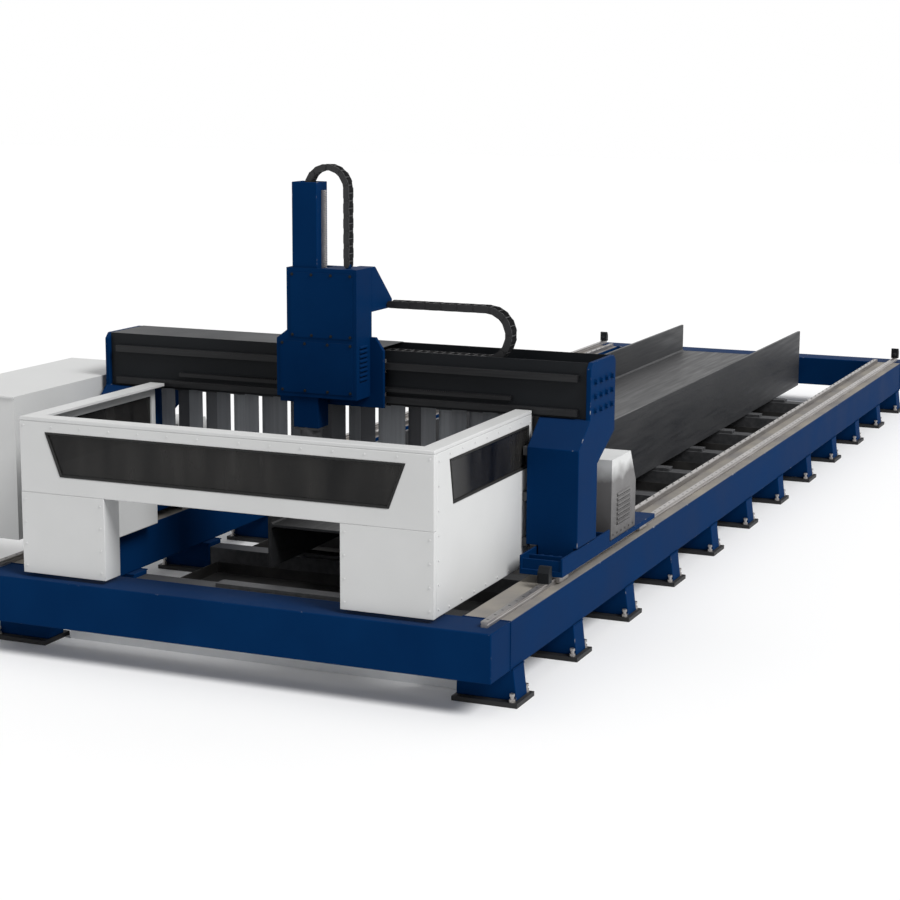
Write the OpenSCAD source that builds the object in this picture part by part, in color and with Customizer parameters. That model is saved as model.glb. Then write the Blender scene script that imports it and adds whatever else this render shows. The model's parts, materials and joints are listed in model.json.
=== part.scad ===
// H-beam laser cutting machine: a travelling gantry with a cutting enclosure over a welded bed.
// Frame: X across the bed, Y along it from the enclosure end, Z up, millimetres.
// The origin is on the floor, at the centre of the four corner anchor bolts.

/* [Bed] */
// Overall length of the welded bed
base_len = 13000; // [11000:100:15000]
// Centreline of each rail beam, measured from the middle of the bed
beam_x = 1725; // [1700:5:1800]
// Width of the rail beams and of the two end beams
beam_w = 320; // [300:5:340]
// Height of the beams' underside above the floor
beam_z0 = 230; // [200:5:260]
// Height of the rail beams
beam_h = 315; // [290:5:340]
// Plate thickness of the welded box sections
wall = 16; // [10:1:22]
// Number of feet under each rail beam
foot_n = 12; // [10:1:13]
// Distance from each end of the bed to the middle of its first foot
foot_inset = 450; // [400:10:520]
// Length of a foot plate across the bed
foot_w = 440; // [420:5:470]
// Length of a foot plate along the bed
foot_l = 300; // [270:5:340]
// Thickness of a foot plate
foot_t = 30; // [20:1:40]
// Diameter of the anchor bolt holes
anchor_d = 26; // [22:1:30]

/* [Workpiece] */
// Depth of the section that is being cut
work_d = 1448; // [1200:4:1480]
// Width of its flanges
work_b = 640; // [500:10:650]
// Thickness of its web
work_tw = 20; // [12:1:30]
// Thickness of its flanges
work_tf = 28; // [16:1:40]
// Length of the section
work_len = 10500; // [8000:100:10600]
// Leg of the fillet welds between its web and its flanges
work_weld = 14; // [8:1:20]

/* [Long axis] */
// Distance from each end of the bed to the outer face of its end stops
stop_inset = 130; // [120:5:300]
// Width of the long guide rails
rail_w = 45; // [35:1:55]
// Height of the long guide rails
rail_h = 38; // [30:1:44]
// Height from rail seat to the underside of the trucks
block_h = 60; // [56:1:70]
// Thickness of the truck plates
truck_t = 35; // [25:1:45]
// Module of the long racks and their pinions
long_mod = 8; // [7:0.5:8]
// Teeth on each long pinion
long_teeth = 14; // [12:2:14]

/* [Gantry] */
// Underside of the crossbeam
cross_z0 = 1570; // [1540:5:1600]
// Height of the crossbeam
cross_h = 305; // [295:5:330]
// Depth of the crossbeam along the bed
cross_d = 450; // [420:10:480]
// Thickness of the columns' end plates, between which the crossbeam is bolted
end_t = 34; // [25:1:45]
// Height of the cable tray's walls on the crossbeam
tray_h = 80; // [70:1:95]

/* [Enclosure] */
// Clear gap between the enclosure's sides and the rail beams
track_gap = 82; // [60:1:120]
// Underside of the enclosure
enc_z0 = 572; // [570:1:590]
// Top of the enclosure
enc_z1 = 1619; // [1610:1:1625]
// Thickness of the enclosure's panels
enc_t = 40; // [30:1:50]
// Half of the width of the passage for the workpiece
pass_hw = 849; // [800:1:900]
// Top of the passage
pass_z = 1118; // [1080:1:1150]
// Top edge of the windows
win_z1 = 1526; // [1500:1:1540]
// Bottom edge of the windows
win_z0 = 1237; // [1220:1:1260]
// Distance from the front window's upper corners to the sides of the enclosure
win_side = 193; // [150:1:260]
// Distance that the slanting ends of the front window run inwards
win_slant = 110; // [60:1:150]
// Width of the top rim
rim_w = 120; // [90:5:150]

/* [Carriage and ram] */
// Height of the carriage's housing above the floor, at its top
house_z1 = 2530; // [2500:5:2560]
// Width of the ram
ram_w = 190; // [180:2:200]
// Depth of the ram
ram_d = 160; // [150:2:170]
// Top of the ram when it is raised
ram_z1 = 3110; // [3090:5:3130]
// Underside of the ram when it is raised
ram_z0 = 1420; // [1400:5:1440]
// Module of the racks on the crossbeam and on the ram
short_mod = 5; // [4:0.5:5]
// Teeth on the pinions of those two racks
short_teeth = 14; // [12:2:14]

/* [Chains] */
// Pitch of the crossbeam chain's links
ych_p = 60; // [58:0.5:62]
// Height of the crossbeam chain
ych_h = 50; // [46:1:51]
// Width of the crossbeam chain
ych_w = 100; // [90:2:110]
// Pitch of the ram chain's links
zch_p = 51; // [49:0.5:52]
// Height of the ram chain
zch_h = 42; // [38:1:43]
// Width of the ram chain
zch_w = 76; // [70:2:84]

/* [Cabinet] */
// Height of the control cabinet
cab_h = 1000; // [900:10:1040]
// Depth of the control cabinet across the bed
cab_d = 700; // [600:10:760]
// Length of the control cabinet along the bed
cab_l = 1800; // [1600:20:1840]

/* [Clearances] */
// Sliding clearance between a guide rail and its block
slide_c = 0.05; // [0.02:0.01:0.1]
// Running clearance around a shaft, on the radius
run_c = 0.05; // [0.02:0.01:0.1]
// Play between the teeth of a rack and of its pinion
mesh_c = 0.4; // [0.2:0.05:0.6]
// Gap around a cover, a door or a window
gap_c = 2; // [1:0.5:4]

/* [Hidden] */
$fn = 48;

blue = [0.05, 0.14, 0.36];
pale = [0.86, 0.87, 0.87];
black = [0.06, 0.06, 0.07];
smoke = [0.10, 0.10, 0.11];
steel = [0.62, 0.63, 0.65];
dark = [0.25, 0.26, 0.28];
copper = [0.72, 0.45, 0.28];
strip = [0.55, 0.60, 0.66];

// Bed
x_in = beam_x - beam_w / 2;
x_out = beam_x + beam_w / 2;
beam_top = beam_z0 + beam_h;
y_end = base_len / 2;
foot_step = (base_len - 2 * foot_inset) / (foot_n - 1);
foot_x = (x_out + 55) - foot_w / 2;
leg_x0 = foot_x - foot_w / 2 + 10;
anchor_x = foot_w / 2 - 45;
anchor_y = foot_l / 2 - 30;
tie_z0 = 60;
tie_z1 = beam_z0 - 30;
tie_w = 160;
leg_hl = 92;
enc_hw = x_in - track_gap;
cross_hl = x_out - end_t;

// Gantry, with its own length measured from y0
y0 = -y_end + 300;
rail_x = x_out - 95;
truck_z0 = beam_top + block_h;
truck_z1 = truck_z0 + truck_t;
truck_y0 = 950;
truck_y1 = 2950;
truck_wall = 15;
truck_wall_h = 90;
block_l = 180;
block_w = 100;
block_cap = 12;
block_lift = 8;
buffer_l = 100;
post_l = 60;
post_hw = 40;
post_h = 110;
cover_y0 = 1960;
cover_y1 = 2500;
cover_z1 = 1210;
cover_t = 6;
nose_h = 230;
nose_l = 130;
vent_n = 7;
vent_step = 34;
vent_side = 120;
pin_y = 2300;
gear_w = 130;
gear_l = 130;
neck_l = 60;
motor_w = 110;
motor_l = 210;
motor_cap = 60;

// Teeth
gear_pa = 25;
function pitch_of(m) = PI * m;
function radius_of(m, z) = m * z / 2;
add_k = 0.8;
ded_k = 1.05;
seg_n = 41;
long_back = 5.25 * long_mod;
long_x0 = x_in + 25;
long_px = long_x0 + long_back + radius_of(long_mod, long_teeth);
long_seg = seg_n * pitch_of(long_mod);
long_start = pin_y - 12 * pitch_of(long_mod);
rack_h = 40;
long_count = floor((base_len - 300 - beam_w - 30 - long_start) / long_seg);
short_back = 5.6 * short_mod;
short_seg = seg_n * pitch_of(short_mod);
shaft_r = 20;
shaft2_r = 12;
shaft_in = 38;
short_pin_t = 24;

// Crossbeam
cross_y0 = 1470;
cross_y1 = cross_y0 + cross_d;
cross_z1 = cross_z0 + cross_h;
tray_z1 = cross_z1 + tray_h;
srail_w = 45;
srail_h = 38;
saddle_gap = 75;
saddle_t = 30;
saddle_y1 = cross_y0 - saddle_gap;
saddle_y0 = saddle_y1 - saddle_t;
srail_z0 = cross_z0 + 42;
srail_z1 = cross_z1 - 30;
crack_z = (srail_z0 + srail_z1) / 2 - 62;
cpin_z = crack_z + short_back + radius_of(short_mod, short_teeth);
cpin_x = 150;

// Enclosure
enc_y0 = -237;
enc_y1 = 1400;
rim_t = 24;
glass_t = 12;
win_x1 = enc_hw - win_side;
win_x0 = win_x1 - win_slant;
side_y0 = enc_y0 + enc_t + 197;
side_y1 = enc_y1 - 50;
side_slant = 60;
front_win = [[-win_x0, win_z0], [win_x0, win_z0], [win_x1, win_z1], [-win_x1, win_z1]];
side_win = [[side_y0 + side_slant, win_z0], [side_y1, win_z0], [side_y1, win_z1], [side_y0, win_z1]];
bracket_z = enc_z0 + 148;
bracket_step = 310;

// Columns
col_x0 = x_in - 45;
col_x1 = cross_hl + end_t;
col_y0 = 1220;
col_y1 = 1600;
col_lap = 30;
col_flange = 25;
plate_cut = 40;
pocket_n = 3;
pocket_rib = 16;
pocket_d = 60;
curtain_n = 26;
curtain_z0 = 930;
curtain_y = col_y1;

// Carriage
saddle_hw = 400;
saddle_z1 = 2050;
saddle_block = 140;
ram_block = 130;
panel_t = 6;
house_x0 = -230;
house_x1 = 300;
house_y0 = 1150;
house_z0 = 1640;
house_t = 6;
wing_x0 = house_x0 - 80;
wing_z1 = house_z0 + 400;
wing_cut = 60;
panel_in = 30;
ram_x = -100;
ram_y0 = house_y0 + 20;
ram_y1 = ram_y0 + ram_d;
ram_y = (ram_y0 + ram_y1) / 2;
ram_t = 12;
rr_w = 23;
rr_h = 18;
rr_x = ram_w / 2 - 30;
rpin_z = 2300;
rpin_x = ram_x + ram_w / 2 + short_back + radius_of(short_mod, short_teeth);

// Chains
plate_t = 5;
plate_c = 0.3;
tongue = 2 * plate_t + plate_c + 0.2;
ych_n = 9;
ych_r = ych_p / 2 / sin(90 / ych_n);
ych_y = cross_y0 + 200;
ych_z0 = cross_z1 + 4 + ych_h / 2 + 2;
ych_z1 = ych_z0 + 2 * ych_r;
ych_runs = 12;
ych_x = house_x1 + ych_h / 2 + 5 + ych_runs * ych_p;
ych_tail = 23;
bracket_w = 120;
bracket_h = 60;
zch_n = 9;
zch_r = zch_p / 2 / sin(90 / zch_n);
zch_x = ram_x + zch_r;
zch_runs = 10;
zch_z = house_z1 + zch_h / 2 + 4 + zch_runs * zch_p;
zch_tail = 9;

// Head
head_x = ram_x;
swivel_z1 = ram_z0 - 90;
tilt_z = swivel_z1 - 160;
tip_z = tilt_z - 190;

// Cabinet
cab_x1 = -(x_out + 45);
cab_x0 = cab_x1 - cab_d;
cab_y0 = 350;
cab_z0 = truck_z0 + 15;
cab_t = 20;
hinge_x = cab_x0 - gap_c - cab_t;
hinge_d = 16;
hinge_l = 60;
hinge_c = 0.3;
hinge_z0 = 120;
hinge_z1 = cab_h - 2 * hinge_z0;
roof_t = 12;
roof_lap = 30;
slot_z0 = 90;
slot_z1 = cab_h - 3 * slot_z0;
slot_n = 6;
slot_step = 36;
grip_z = 440;
grip_h = 158;
grip_w = 18;
grip_in = 70;
unit_n = 4;
unit_y = 120;
unit_step = 180;
unit_w = 140;
unit_d = 260;
unit_z0 = 520;
unit_z1 = 880;
supply_y0 = 100;
supply_y1 = 820;
supply_d = 480;
supply_z1 = 400;
source_y0 = 980;
source_d = 560;
source_z1 = 620;

// Helpers
module both() {
  children();
  mirror([1, 0, 0]) children();
}

module box(a, b) {
  translate(a) cube([b[0] - a[0], b[1] - a[1], b[2] - a[2]]);
}

module tube_y(a, b, t) {
  difference() {
    box(a, b);
    box([a[0] + t, a[1] - 1, a[2] + t], [b[0] - t, b[1] + 1, b[2] - t]);
  }
}

module prism_x(x0, x1, pts) {
  translate([x0, 0, 0]) rotate([90, 0, 90]) linear_extrude(x1 - x0) polygon(pts);
}

module prism_y(ya, yb, pts) {
  translate([0, yb, 0]) rotate([90, 0, 0]) linear_extrude(yb - ya) polygon(pts);
}

// A slot with round ends, its middle at the origin
module round_slot(l, w) {
  square([l - w, w], center = true);
  for (s = [-1, 1]) translate([s * (l - w) / 2, 0]) circle(d = w);
}

// A servo motor along +Z: ribbed body, end cap and connector
module servo(w, l, cap) {
  core = w - 12;
  fins = floor(l / 24);
  translate([-core / 2, -core / 2, 0]) cube([core, core, l]);
  for (i = [0 : fins - 1]) translate([-w / 2, -w / 2, (i + 0.5) * l / fins - 5]) cube([w, w, 10]);
  translate([0, 0, l - 1]) cylinder(d = w - 14, h = cap + 1);
  translate([-w / 2 - 12, -14, l - 44]) cube([20, 28, 30]);
}

// Straight-sided rack: n teeth along +Y, teeth towards +X, its back at x = 0
module rack_2d(m, n, back) {
  p = pitch_of(m);
  tip = back + add_k * m;
  root = back - ded_k * m;
  ht = p / 4 - add_k * m * tan(gear_pa) - mesh_c / 4;
  hr = p / 4 + ded_k * m * tan(gear_pa) - mesh_c / 4;
  polygon(concat(
    [[0, n * p], [0, 0], [root, 0]],
    [for (i = [0 : n - 1]) each [
      [root, (i + 0.5) * p - hr], [tip, (i + 0.5) * p - ht],
      [tip, (i + 0.5) * p + ht], [root, (i + 0.5) * p + hr]]],
    [[root, n * p]]));
}

// Involute pinion with a tooth on the -X side
function roll(r, rb) = sqrt(max(0, r * r / (rb * rb) - 1));
function inv_a(r, rb) = roll(r, rb) * 180 / PI - atan(roll(r, rb));

module pinion_2d(m, z) {
  rp = radius_of(m, z);
  rb = rp * cos(gear_pa);
  ra = rp + add_k * m;
  rf = rp - ded_k * m;
  half = 90 / z - mesh_c / 4 / rp * 180 / PI + inv_a(rp, rb);
  steps = 5;
  rs = [for (i = [0 : steps]) rb + (ra - rb) * i / steps];
  polygon([for (k = [0 : z - 1]) let (c = 180 + k * 360 / z) each concat(
    [rf * [cos(c - half), sin(c - half)]],
    [for (r = rs) r * [cos(c - half + inv_a(r, rb)), sin(c - half + inv_a(r, rb))]],
    [for (i = [0 : steps]) let (r = rs[steps - i])
      r * [cos(c + half - inv_a(r, rb)), sin(c + half - inv_a(r, rb))]],
    [rf * [cos(c + half), sin(c + half)]])]);
}

// One chain link from pivot to pivot along +X, inner links between the plates of outer ones
module link(p, h, w, inner) {
  t = plate_t;
  y1 = w / 2 - (inner ? t + plate_c : 0);
  for (s = [-1, 1])
    translate([0, s > 0 ? y1 : -y1 + t, 0]) rotate([90, 0, 0]) linear_extrude(t) union() {
      circle(d = h);
      translate([p, 0]) circle(d = h);
      translate([0, -h / 2]) square([p, h]);
    }
  for (s = [-1, 1])
    box([p / 2 - 3.5, -y1 + 1, s > 0 ? h / 2 - 5 : -h / 2],
      [p / 2 + 3.5, y1 - 1, s > 0 ? h / 2 : -h / 2 + 5]);
}

// Bed
module rail_beams() color(blue) both()
  tube_y([x_in, -y_end + beam_w, beam_z0], [x_out, y_end - beam_w, beam_top], wall);

module end_beams() color(blue) for (s = [-1, 1])
  translate([0, s * (y_end - beam_w / 2), 0]) difference() {
    box([-x_out, -beam_w / 2, beam_z0], [x_out, beam_w / 2, beam_top]);
    box([-x_out + wall, -beam_w / 2 + wall, beam_z0 + wall],
      [x_out - wall, beam_w / 2 - wall, beam_top - wall]);
  }

module at_feet() for (i = [0 : foot_n - 1])
  translate([0, -y_end + foot_inset + i * foot_step, 0]) both() children();

module bed_legs() color(blue) at_feet()
  prism_y(-leg_hl, leg_hl, [[leg_x0, foot_t], [x_out + 30, foot_t], [x_out + 5, beam_z0], [leg_x0, beam_z0]]);

module foot_holes(i) for (j = [-1, 1])
  translate([foot_x + i * anchor_x, j * anchor_y, 0]) children();

module foot_plates() color(black) at_feet() difference() {
  box([foot_x - foot_w / 2, -foot_l / 2, 0], [foot_x + foot_w / 2, foot_l / 2, foot_t]);
  for (i = [-1, 1]) foot_holes(i) translate([0, 0, -1]) cylinder(d = anchor_d, h = foot_t + 2);
}

module levelling_screws() color(steel) at_feet() foot_holes(1) {
  cylinder(d = anchor_d - 0.6, h = foot_t + 40);
  translate([0, 0, foot_t]) cylinder(d = anchor_d + 16, h = 4);
  translate([0, 0, foot_t + 3]) cylinder(d = (anchor_d + 10) / cos(30), h = 17, $fn = 6);
  translate([0, 0, foot_t + 39]) cylinder(d = (anchor_d + 6) / cos(30), h = 15, $fn = 6);
}

module at_ties() for (i = [1 : foot_n - 2])
  translate([0, -y_end + foot_inset + i * foot_step, 0]) children();

module cross_ties() color(dark) at_ties() difference() {
  box([-leg_x0, -tie_w / 2, tie_z0], [leg_x0, tie_w / 2, tie_z1]);
  box([-leg_x0 - 1, -tie_w / 2 + 10, tie_z0 + 10], [leg_x0 + 1, tie_w / 2 - 10, tie_z1 - 10]);
}

module work_rests() color(steel) at_ties()
  box([-pass_hw, -60, tie_z1], [pass_hw, 60, beam_z0]);

module scrap_trays() color(dark) for (i = [0 : foot_n - 3])
  translate([0, -y_end + foot_inset + i * foot_step, 0]) difference() {
    box([-leg_x0 + 60, tie_w / 2, 0], [leg_x0 - 60, foot_step - tie_w / 2, 90]);
    box([-leg_x0 + 66, tie_w / 2 + 6, 6], [leg_x0 - 66, foot_step - tie_w / 2 - 6, 91]);
  }

module long_rails() color(steel) both() difference() {
  box([rail_x - rail_w / 2, -y_end + 120, beam_top], [rail_x + rail_w / 2, y_end - 120, beam_top + rail_h]);
  for (s = [-1, 1]) translate([rail_x + s * rail_w / 2, 0, beam_top + 0.55 * rail_h])
    rotate([0, 45, 0]) cube([7, base_len, 7], center = true);
}

module long_racks() color(steel) both() for (i = [0 : long_count - 1])
  translate([long_x0, y0 + long_start + i * long_seg, beam_top]) linear_extrude(rack_h)
    rack_2d(long_mod, seg_n, long_back);

// A stop post with a rubber buffer that faces +Y, its outer face at y = 0
module stop_post() translate([rail_x, 0, beam_top + rail_h]) {
  tip = buffer_l - post_l;
  prism_x(-post_hw, post_hw, [[0, 0], [post_l, 0], [post_l, post_h], [post_l / 2, post_h], [0, post_h - 40]]);
  translate([0, post_l, block_h + truck_t / 2 - rail_h]) rotate([-90, 0, 0]) rotate_extrude()
    polygon([[0, 0], [25, 0], [25, 8], [18, 10], [18, tip - 4], [14, tip], [0, tip]]);
}

module end_stops() color(black) both() {
  translate([0, y0 + truck_y0 - buffer_l - 20, 0]) stop_post();
  translate([0, y_end - stop_inset, 0]) mirror([0, 1, 0]) stop_post();
}

// Corner points of one quarter of the welded H-section, from the flange's outer edge to the web
work_pts = [[work_d / 2, work_b / 2], [work_d / 2 - work_tf, work_b / 2],
  [work_d / 2 - work_tf, work_tw / 2 + work_weld], [work_d / 2 - work_tf - work_weld, work_tw / 2]];

module workpiece_beam() color(dark) translate([0, y_end - beam_w - 120, beam_z0 + work_b / 2])
  rotate([90, 0, 0]) linear_extrude(work_len)
    polygon([for (q = [[1, 1], [-1, 1], [-1, -1], [1, -1]]) for (i = [0 : 3])
      let (p = work_pts[q[0] * q[1] > 0 ? i : 3 - i]) [q[0] * p[0], q[1] * p[1]]]);

// Gantry
module on_gantry() translate([0, y0, 0]) children();

module trucks() color(blue) on_gantry() both() difference() {
  union() {
    box([x_in + 15, truck_y0, truck_z0], [x_out - 5, truck_y1, truck_z1]);
    for (x = [x_in + 15, x_out - 5 - truck_wall])
      box([x, truck_y0, truck_z1 - 1], [x + truck_wall, truck_y0 + 960, truck_z1 + truck_wall_h]);
    for (y = [truck_y0 + 10, truck_y0 + 130, col_y1 + 140, truck_y0 + 930])
      box([x_in + 16, y, truck_z1 - 1], [x_out - 6, y + truck_wall, truck_z1 + truck_wall_h - 20]);
  }
  translate([long_px, pin_y, truck_z0 - 1]) cylinder(r = shaft_r + 10, h = truck_t + 2);
}

// A guide block along Y over a rail that lies on z = 0: the body and its two end caps
module guide_block(l, w, h, lift, rw, rh) difference() {
  union() {
    translate([-w / 2, -l / 2 + block_cap, lift]) cube([w, l - 2 * block_cap, h - lift]);
    translate([-w / 2 + 3, -l / 2, lift]) cube([w - 6, l, h - lift - 4]);
  }
  translate([-rw / 2 - slide_c, -l / 2 - 1, -1]) cube([rw + 2 * slide_c, l + 2, rh + slide_c + 1]);
}

module truck_blocks() color(steel) on_gantry() both()
  for (y = [truck_y0 + 60 + block_l / 2, truck_y1 - 60 - block_l / 2]) translate([rail_x, y, beam_top])
    guide_block(block_l, block_w, block_h, block_lift, rail_w, rail_h);

module column() {
  ya = cross_y0 - col_lap;
  yb = cross_y1 + col_lap;
  pz0 = truck_z1 + 110;
  ph = (cross_z0 - 360 - pz0 - (pocket_n - 1) * pocket_rib) / pocket_n;
  difference() {
    prism_x(col_x0, col_x1, [[col_y0, truck_z1], [col_y1, truck_z1], [col_y1, cross_z0 - 320],
      [yb, cross_z0 - 140], [yb, cross_z0], [ya, cross_z0], [col_y0, cross_z0 - 170]]);
    for (k = [0 : pocket_n - 1]) translate([0, 0, pz0 + k * (ph + pocket_rib)])
      box([col_x0 - 1, col_y0 + 80, 0], [col_x0 + pocket_d, col_y1 - 80, ph]);
    box([col_x0 - 1, col_y0 - 20, truck_z1 - 1], [x_in + 40, col_y1 + 100, truck_z1 + truck_wall_h + 10]);
    box([x_out - 30, col_y0 - 20, truck_z1 - 1], [x_out + 40, col_y1 + 100, truck_z1 + truck_wall_h + 10]);
  }
  box([x_in + 31, col_y0 - 45, truck_z1], [x_out - 21, col_y1 + 45, truck_z1 + col_flange]);
  prism_x(cross_hl, col_x1, [[ya, cross_z0 - 1], [yb, cross_z0 - 1], [yb, tray_z1 - plate_cut],
    [yb - plate_cut, tray_z1], [ya + plate_cut, tray_z1], [ya, tray_z1 - plate_cut]]);
}

module column_right() color(blue) on_gantry() column();

module column_left() color(blue) on_gantry() mirror([1, 0, 0]) column();

module crossbeam() color(black) on_gantry() difference() {
  box([-cross_hl, cross_y0, cross_z0], [cross_hl, cross_y1, cross_z1]);
  box([-cross_hl - 1, cross_y0 + wall, cross_z0 + wall], [cross_hl + 1, cross_y1 - wall, cross_z1 - wall]);
  for (i = [-2 : 2]) translate([i * cross_hl / 3, cross_y1 - wall - 1, (cross_z0 + cross_z1) / 2])
    rotate([-90, 0, 0]) linear_extrude(wall + 2) round_slot(180, 90);
}

module beam_rails() color(steel) on_gantry() for (z = [srail_z0, srail_z1]) difference() {
  box([-cross_hl + 60, cross_y0 - srail_h, z - srail_w / 2], [cross_hl - 60, cross_y0, z + srail_w / 2]);
  for (s = [-1, 1]) translate([0, cross_y0 - 0.55 * srail_h, z + s * srail_w / 2])
    rotate([45, 0, 0]) cube([2 * cross_hl, 7, 7], center = true);
}

// A rack along +X with its teeth up, its back at z = 0, its mounting face at y = 0
module rack_up(m, n, back, h) rotate([90, 0, 0]) linear_extrude(h) rotate(90) mirror([0, 1])
  rack_2d(m, n, back);

module beam_rack() color(steel) on_gantry() for (i = [0 : 3])
  translate([cpin_x - 90 * pitch_of(short_mod) + i * short_seg, cross_y0, crack_z])
    rack_up(short_mod, seg_n, short_back, 30);

module cable_tray() color(black) on_gantry() {
  box([-cross_hl, cross_y0, cross_z1], [cross_hl, cross_y1, cross_z1 + 4]);
  box([-cross_hl, cross_y0, cross_z1], [cross_hl, cross_y0 + 4, tray_z1 - 3]);
  box([-cross_hl, cross_y1 - 4, cross_z1], [cross_hl, cross_y1, tray_z1 - 3]);
}

module tray_lid() color(black) on_gantry()
  box([-cross_hl, cross_y0, tray_z1 - 3], [house_x1, cross_y1, tray_z1]);

module long_drive() translate([long_px, pin_y, truck_z1]) difference() {
  union() {
    box([-gear_w / 2, -gear_w / 2, 0], [gear_w / 2, gear_w / 2, gear_l]);
    translate([0, 0, gear_l - 1]) cylinder(d = motor_w, h = neck_l + 2);
    translate([0, 0, gear_l + neck_l]) servo(motor_w, motor_l, motor_cap);
  }
  translate([0, 0, -1]) cylinder(r = shaft_r + run_c, h = shaft_in + 3);
}

module long_drives() color(black) on_gantry() both() long_drive();

module drive_cover() difference() {
  ya = cover_y0 + cover_t;
  yb = cover_y1 - cover_t;
  zb = cover_z1 - cover_t;
  prism_x(x_in + 25, x_out - 15, [[cover_y0, truck_z1], [cover_y1, truck_z1], [cover_y1, cover_z1 - nose_h],
    [cover_y1 - nose_l, cover_z1], [cover_y0, cover_z1]]);
  prism_x(x_in + 25 + cover_t, x_out - 15 - cover_t, [[ya, truck_z1 - 1], [yb, truck_z1 - 1],
    [yb, cover_z1 - nose_h - 2], [yb - nose_l + 3, zb], [ya, zb]]);
  for (i = [0 : vent_n - 1]) translate([x_out - 22, (cover_y0 + cover_y1) / 2, truck_z1 + 90 + i * vent_step])
    rotate([90, 0, 90]) linear_extrude(cover_t + 2) round_slot(cover_y1 - cover_y0 - 2 * vent_side, 12);
}

module drive_cover_right() color(pale) on_gantry() drive_cover();

module drive_cover_left() color(pale) on_gantry() mirror([1, 0, 0]) drive_cover();

module long_pinion() translate([long_px, pin_y, beam_top]) {
  translate([0, 0, 2]) linear_extrude(rack_h - 4) pinion_2d(long_mod, long_teeth);
  translate([0, 0, rack_h - 3]) cylinder(r = shaft_r, h = truck_z1 + shaft_in - beam_top - rack_h + 3);
}

module pinion_right() color(steel) on_gantry() long_pinion();

module pinion_left() color(steel) on_gantry() mirror([1, 0, 0]) long_pinion();

// Enclosure
module enclosure_header() color(pale) on_gantry() difference() {
  box([-enc_hw, enc_y0, pass_z], [enc_hw, enc_y0 + enc_t, enc_z1 - rim_t]);
  prism_y(enc_y0 - 1, enc_y0 + enc_t + 1, front_win);
}

module enclosure_leg() {
  box([pass_hw, enc_y0, enc_z0], [enc_hw, enc_y0 + enc_t, pass_z]);
  box([pass_hw, enc_y0 + enc_t - 1, enc_z0], [pass_hw + 8, enc_y0 + 180, pass_z]);
}

module enclosure_leg_right() color(pale) on_gantry() enclosure_leg();

module enclosure_leg_left() color(pale) on_gantry() mirror([1, 0, 0]) enclosure_leg();

module enclosure_side() difference() {
  box([enc_hw - enc_t, enc_y0 + enc_t, enc_z0], [enc_hw, enc_y1, enc_z1 - rim_t]);
  prism_x(enc_hw - enc_t - 1, enc_hw + 1, side_win);
}

module enclosure_side_right() color(pale) on_gantry() enclosure_side();

module enclosure_side_left() color(pale) on_gantry() mirror([1, 0, 0]) enclosure_side();

module enclosure_rim() color(pale) on_gantry() difference() {
  box([-enc_hw, enc_y0, enc_z1 - rim_t], [enc_hw, enc_y1, enc_z1]);
  box([-enc_hw + rim_w, enc_y0 + rim_w, enc_z1 - rim_t - 1], [enc_hw - rim_w, enc_y1 + 1, enc_z1 + 1]);
}

module front_window() color(smoke) on_gantry()
  prism_y(enc_y0 + glass_t, enc_y0 + 2 * glass_t, front_win);

module side_windows() color(smoke) on_gantry() both()
  prism_x(enc_hw - 2 * glass_t, enc_hw - glass_t, side_win);

module enclosure_brackets() color(dark) on_gantry() both() for (i = [0 : 2])
  translate([0, 0, bracket_z + i * bracket_step])
    box([enc_hw, col_y0 + 20, 0], [col_x0, enc_y1 - 20, 60]);

module curtain_rail() color(dark) on_gantry()
  box([-col_x0, curtain_y, cross_z0 - 30], [col_x0, curtain_y + 40, cross_z0]);

module curtain_strips() color(strip) on_gantry() {
  p = 2 * (col_x0 - 10) / curtain_n;
  for (i = [0 : curtain_n - 1]) translate([-col_x0 + 10 + i * p, curtain_y + (i % 2 == 0 ? -4 : 40), 0])
    box([2, 0, curtain_z0], [p - 2, 4, cross_z0 - 4]);
}

// Control cabinet
module cabinet_shell() color(pale) on_gantry() {
  difference() {
    box([cab_x0, cab_y0, cab_z0], [cab_x1, cab_y0 + cab_l, cab_z0 + cab_h]);
    box([cab_x0 - 1, cab_y0 + cab_t, cab_z0 + cab_t],
      [cab_x1 - cab_t, cab_y0 + cab_l - cab_t, cab_z0 + cab_h - cab_t]);
  }
  box([cab_x0 - roof_lap, cab_y0 - roof_t, cab_z0 + cab_h],
    [cab_x1, cab_y0 + cab_l + roof_t, cab_z0 + cab_h + roof_t]);
  for (s = [0, 1]) for (z = [hinge_z0, hinge_z1])
    translate([hinge_x, cab_y0 + (s == 0 ? 0 : cab_l), cab_z0 + z]) {
      cylinder(d = hinge_d, h = hinge_l - hinge_c);
      box([0, s == 0 ? -hinge_d / 2 : 0, 0],
        [cab_t + gap_c + 40, s == 0 ? 0 : hinge_d / 2, hinge_l - hinge_c]);
    }
}

module cabinet_units() color(dark) on_gantry() {
  xb = cab_x1 - cab_t;
  for (i = [0 : unit_n - 1]) translate([0, cab_y0 + unit_y + i * unit_step, 0])
    box([xb - unit_d, 0, cab_z0 + unit_z0], [xb, unit_w, cab_z0 + unit_z1]);
  box([xb - supply_d, cab_y0 + supply_y0, cab_z0 + cab_t], [xb, cab_y0 + supply_y1, cab_z0 + supply_z1]);
  box([xb - source_d, cab_y0 + source_y0, cab_z0 + cab_t], [xb, cab_y0 + cab_l - unit_y, cab_z0 + source_z1]);
}

module cabinet_mounts() color(dark) on_gantry() for (z = [truck_z1 + 160, cross_z0 - 230])
  box([cab_x1, col_y0 + 40, z], [-x_out, col_y1 - 40, z + 120]);

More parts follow.
